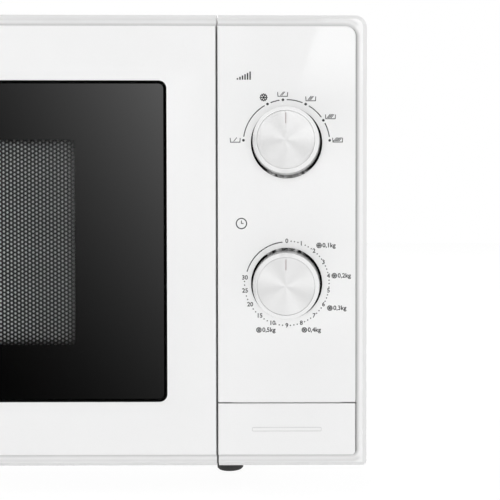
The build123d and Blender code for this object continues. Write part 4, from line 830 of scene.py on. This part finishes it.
powerScale = {
    "shift": (-0.05 * mm, -0.05 * mm),    # middle of the printing from the dial's
    "radius": 23.4 * mm,
    "dot": 0.74 * mm, "dotSides": 12,
    "dots": [-86.5, -26.1, -4.8, 26.3, 58.4, 86.5],         # degrees from the top, as the arcs
    "arcs": [(-81.7, -30.5), (-21.6, -9.4), (0.2, 21.7), (31.0, 53.6), (62.6, 82.1)],
    # Across and up from the middle in mm, and strokes
    "dishes": [(-27.8, 1.6, 1), (-2.1, 26.4, 2), (13.1, 24.0, 3), (23.8, 14.3, 4), (27.7, 1.7, 5)],
    "flake": (-12.4, 24.6, 2.05),         # across and up from the middle, and radius, in mm
    "bars": (148.9, 224.4, 8.2, 4.2),     # left, foot, width and height of the level sign, in mm
    "levels": 6, "barPen": 0.8 * mm, "barLift": 0.3 * mm,
}


def powerPrinting(spec):
    x, z, radius = powerCentre.x + spec["shift"][0], powerCentre.z + spec["shift"][1], spec["radius"]
    parts = []
    for turn in spec["dots"]:
        parts.append(printDot(*onDial(x, z, radius, turn), spec["dot"], spec["dotSides"]))
    for start, end in spec["arcs"]:
        parts.append(printArc(x, z, radius, start, end, inkSpec["line"]))
    for across, up, strokes in spec["dishes"]:
        parts += dishSign(x + across * mm, z + up * mm, strokes, dishSpec)
    flakeX, flakeZ, flakeRadius = [v * mm for v in spec["flake"]]
    parts += snowflake(x + flakeX, z + flakeZ, flakeRadius)
    left, foot, wide, tall = [v * mm for v in spec["bars"]]
    for level in range(spec["levels"]):
        middle = left + wide * (level + 0.5) / spec["levels"]
        top = foot + tall * (level + 1) / spec["levels"]
        parts.append(printBar(middle, foot + spec["barLift"], middle, top, spec["barPen"]))
    return joinPieces(parts, "power_scale_print")


timerScale = {
    "shift": (0.05 * mm, -0.1 * mm),
    "radius": 23.0 * mm,
    "digits": 2.35 * mm,
    "numbers": ["0", "1", "2", "3", "4", "5", "6", "7", "8", "9", "10", "15", "20", "25", "30"],
    "step": 20,                           # degrees from number to number
    "lastTurn": 277.7,                    # the last one stands clear of the arc
    "dot": 0.36 * mm, "dotSides": 10,
    "finePoints": (0.29, 0.52, 0.76), "fineSteps": 10,      # shares of a step, up to the ten
    "coarsePoints": (0.38, 0.63),                           # past the ten
    "arc": (286.3, 354.0), "arcInset": 0.5 * mm,
    # Across and up from the middle in mm, and the words
    "weights": [(17.5, 20.6, "0,1kg"), (25.8, 4.15, "0,2kg"), (23.4, -13.5, "0,3kg"), (9.5, -25.4, "0,4kg"),
                (-15.2, -25.4, "0,5kg")],
    "flake": 1.5 * mm, "weightGap": 1.85 * mm, "weightHeight": 2.42 * mm,
    "clock": (151.6, 146.7, 3.1),         # across, up and radius in mm
    "rim": 0.6 * mm, "hands": (1.5 * mm, 1.0 * mm), "handPen": 0.45 * mm,
}


def timerPrinting(spec):
    x, z, radius = timerCentre.x + spec["shift"][0], timerCentre.z + spec["shift"][1], spec["radius"]
    parts = []
    for count, body in enumerate(spec["numbers"]):
        spot = onDial(x, z, radius, min(spec["step"] * count, spec["lastTurn"]))
        parts.append(printWords(body, *spot, spec["digits"]))
        if count == len(spec["numbers"]) - 1:
            break
        for share in spec["finePoints"] if count < spec["fineSteps"] else spec["coarsePoints"]:
            spot = onDial(x, z, radius, spec["step"] * (count + share))
            parts.append(printDot(*spot, spec["dot"], spec["dotSides"]))
    parts.append(printArc(x, z, radius - spec["arcInset"], *spec["arc"], inkSpec["line"]))
    for across, up, body in spec["weights"]:
        signX, signZ = x + across * mm, z + up * mm
        parts += snowflake(signX, signZ, spec["flake"])
        parts.append(printWords(body, signX + spec["weightGap"], signZ, spec["weightHeight"], "LEFT"))
    clockX, clockZ, clockRadius = [v * mm for v in spec["clock"]]
    for start in (0, 180):
        parts.append(printArc(clockX, clockZ, clockRadius - spec["rim"] / 2, start, start + 180, spec["rim"]))
    longHand, shortHand = spec["hands"]
    parts.append(printBar(clockX, clockZ, clockX, clockZ + longHand, spec["handPen"]))
    parts.append(printBar(clockX, clockZ, clockX + shortHand, clockZ, spec["handPen"]))
    return joinPieces(parts, "timer_scale_print")


for piece in (powerPrinting(powerScale), timerPrinting(timerScale)):
    dress(piece, inkLook)
    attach(piece, "cabinet")
    print(piece.name, len(piece.data.polygons), "faces")


# Paint in the pointer grooves of the two caps

pointerSpec = {
    "start": 8.4 * mm, "length": 5.6 * mm, "width": 0.6 * mm,
    "groove": 0.35 * mm, "below": 0.1 * mm,                 # how deep the groove is, and the paint lies in it
}


def pointerFill(spec, cap, name):
    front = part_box(cap)[0].y
    middle = (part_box(cap)[0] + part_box(cap)[1]) / 2
    deep = spec["groove"] - spec["below"]
    place = (middle.x, front + spec["below"] + deep / 2, middle.z + spec["start"] + spec["length"] / 2)
    clearSelection()
    bpy.ops.mesh.primitive_cube_add(size=1, location=place, scale=(spec["width"], deep, spec["length"]))
    return joinPieces([bpy.context.object], name)


for dial in ("power", "timer"):
    pointer = pointerFill(pointerSpec, dial + "_knob_cap", dial + "_pointer_paint")
    dress(pointer, pointerInk)
    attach(pointer, dial + "_dial")
print("pointers painted")


# Studio

cameraSpec = {
    "place": (0.18534, -0.6365, 0.15199),
    "tilt": -0.0209, "turn": -0.0087,     # radians
    "lens": 63.658, "shift": (-0.12264, -0.03549),
    "nearest": 0.01,
}
bpy.ops.object.camera_add(location=cameraSpec["place"],
                          rotation=(math.pi / 2 + cameraSpec["tilt"], 0, cameraSpec["turn"]))
camera = bpy.context.object
camera.data.lens = cameraSpec["lens"]
camera.data.shift_x, camera.data.shift_y = cameraSpec["shift"]
camera.data.clip_start = cameraSpec["nearest"]
bpy.context.scene.camera = camera

# A soft lamp straight in front of the door gap, so that the gap stays dark and the dials' shadows fall behind
# them, and three others beside, above and behind the oven for its edges: place, aim, size and power of each.
lampSpec = {
    "frontLamp": ((0.137, -3.0, 0.24), (0.137, 0, 0.14), (0.3, 0.44), 45.5),
    "sideLamp": ((2.4, 0.1, 0.9), (0, 0, 0.13), (1.2, 1.2), 9),
    "topLamp": ((0.137, -0.2, 2.4), (0.137, -0.1, 0.2), (0.3, 1.2), 8),
    "rimLamp": ((-1.4, 1.4, 1.4), (0, 0, 0.12), (1.2, 1.2), 32),
}
for name, (place, aim, size, power) in lampSpec.items():
    clearSelection()
    bpy.ops.object.light_add(type="AREA", location=place)
    lamp = newPiece(name)
    lamp.data.shape = "RECTANGLE"
    lamp.data.size, lamp.data.size_y = size
    lamp.data.energy = power
    lamp.rotation_euler = (Vector(aim) - Vector(place)).to_track_quat("-Z", "Y").to_euler()
    lamp.visible_glossy = False

# White to the eye, in gloss and through glass, and dim as a light.
worldSpec = {"light": 0.25, "seen": 1.0}
world = bpy.data.worlds.new("studioWhite")
bpy.context.scene.world = world
world.use_nodes = True
worldTree = world.node_tree
skyPath = addNode(worldTree, "ShaderNodeLightPath").outputs
seen = addNode(worldTree, "ShaderNodeMath", {0: skyPath["Is Camera Ray"], 1: skyPath["Is Glossy Ray"]},
               operation="MAXIMUM")
seen = addNode(worldTree, "ShaderNodeMath", {0: seen, 1: skyPath["Is Transmission Ray"]}, operation="MAXIMUM")
strength = addNode(worldTree, "ShaderNodeMapRange",
                   {"Value": seen, "To Min": worldSpec["light"], "To Max": worldSpec["seen"]})
feed(worldTree.nodes["Background"], {"Strength": strength, "Color": (1, 1, 1, 1)})

# A pale floor that shows nearly white and keeps the oven's shadow, a hair below the feet.
floorSpec = {"size": 8, "below": 0.4 * mm, "paint": "#f4f4f4", "glow": 1.1, "share": 0.85}
clearSelection()
bpy.ops.mesh.primitive_plane_add(size=floorSpec["size"], location=(0, 0, -floorSpec["below"]))
floor = newPiece("floor")
floorLook, floorTree, floorShader = newMaterial("paleStudioFloor", {"Roughness": 0.7,
                                                                    "Base Color": linear(floorSpec["paint"])})
floorPath = addNode(floorTree, "ShaderNodeLightPath").outputs
glow = addNode(floorTree, "ShaderNodeEmission", {"Strength": floorSpec["glow"]})
share = addNode(floorTree, "ShaderNodeMath", {0: floorPath["Is Camera Ray"], 1: floorSpec["share"]},
                operation="MULTIPLY")
mixed = addNode(floorTree, "ShaderNodeMixShader", {0: share, 1: floorShader, 2: glow})
feed(floorTree.nodes["Material Output"], {"Surface": mixed})
dress(floor, floorLook)
floor.visible_glossy = False
floor.visible_transmission = False


# A card in front that only shows in the gloss: dim at the lower left, brighter to the upper right, and a
# bright window with a slanting edge for the upper right of the panel.
cardSpec = {
    "place": (0.1853, -1.5, 0.152), "size": 4.0,
    "reach": 1.8235,                          # sight line from the camera to the face and back to the card
    "tone": 0.376, "toRight": 0.829, "upwards": 0.759, "both": 0.934,      # of the glass, and how it rises
    "least": 0.01, "gain": 25.0, "most": 2.3,
    # Soft edges: right (0), up (1) or slant (2) of the sight line, start and end, and the level at both
    "panelEdges": [(0, -0.155, -0.105, 0.0, 1.0), (1, 0.15, 0.165, 0.0, 1.0), (1, -0.228, -0.214, 1.0, 0.0)],
    "panelFall": -0.6,                        # the panel's part dims upwards
    "slant": -0.318,
    "windowEdges": [(2, -0.054, -0.048, 0.0, 1.0), (1, 0.12, 0.18, 0.0, 1.0), (1, 0.26, 0.32, 1.0, 0.0),
                    (0, 0.10, 0.16, 1.0, 0.0)],
    "window": 3.6,
}


def cardLook(spec):
    material, tree, shader = newMaterial("glossCardGlow")
    parts = placeParts(tree)
    # Slopes of the mirrored sight line, to the right and upwards
    right, up = [addNode(tree, "ShaderNodeMath",
                         {0: parts[way], 1: 1 / spec["reach"], 2: -spec["place"][way] / spec["reach"]},
                         operation="MULTIPLY_ADD") for way in (0, 2)]
    tone = spec["tone"]
    product = addNode(tree, "ShaderNodeMath", {0: right, 1: up}, operation="MULTIPLY")
    for source, rise in ((right, spec["toRight"]), (up, spec["upwards"]), (product, spec["both"])):
        tone = addNode(tree, "ShaderNodeMath", {0: source, 1: rise, 2: tone}, operation="MULTIPLY_ADD")
    # From the eye's scale to light, as in linear
    tone = addNode(tree, "ShaderNodeMath", {0: tone, 1: spec["least"]}, operation="MAXIMUM")
    tone = addNode(tree, "ShaderNodeMath", {0: tone, 1: 0.948, 2: 0.052}, operation="MULTIPLY_ADD")
    tone = addNode(tree, "ShaderNodeMath", {0: tone, 1: 2.4}, operation="POWER")
    bright = addNode(tree, "ShaderNodeMath", {0: tone, 1: spec["gain"]}, operation="MULTIPLY")
    glass = addNode(tree, "ShaderNodeMath", {0: bright, 1: spec["most"]}, operation="MINIMUM")
    panel = addNode(tree, "ShaderNodeMath", {0: up, 1: spec["panelFall"], 2: 1.0}, operation="MULTIPLY_ADD")
    beside = softEdges(tree, (right, up), spec["panelEdges"], "MAXIMUM")
    sheet = addNode(tree, "ShaderNodeMix", {0: beside, 2: glass, 3: panel})
    slant = addNode(tree, "ShaderNodeMath", {0: up, 1: spec["slant"], 2: right}, operation="MULTIPLY_ADD")
    window = softEdges(tree, (right, up, slant), spec["windowEdges"], "MULTIPLY")
    level = addNode(tree, "ShaderNodeMath", {0: window, 1: spec["window"], 2: sheet},
                    operation="MULTIPLY_ADD")
    shine = addNode(tree, "ShaderNodeEmission", {"Strength": level})
    feed(tree.nodes["Material Output"], {"Surface": shine})
    return material


clearSelection()
bpy.ops.mesh.primitive_plane_add(size=cardSpec["size"], location=cardSpec["place"],
                                 rotation=(math.pi / 2, 0, 0))
card = joinPieces([bpy.context.object], "glossCard")
dress(card, cardLook(cardSpec))
for kind in ("camera", "diffuse", "volume_scatter", "shadow"):
    setattr(card, "visible_" + kind, False)

bpy.context.scene.view_settings.view_transform = "Standard"
print("studio ready")
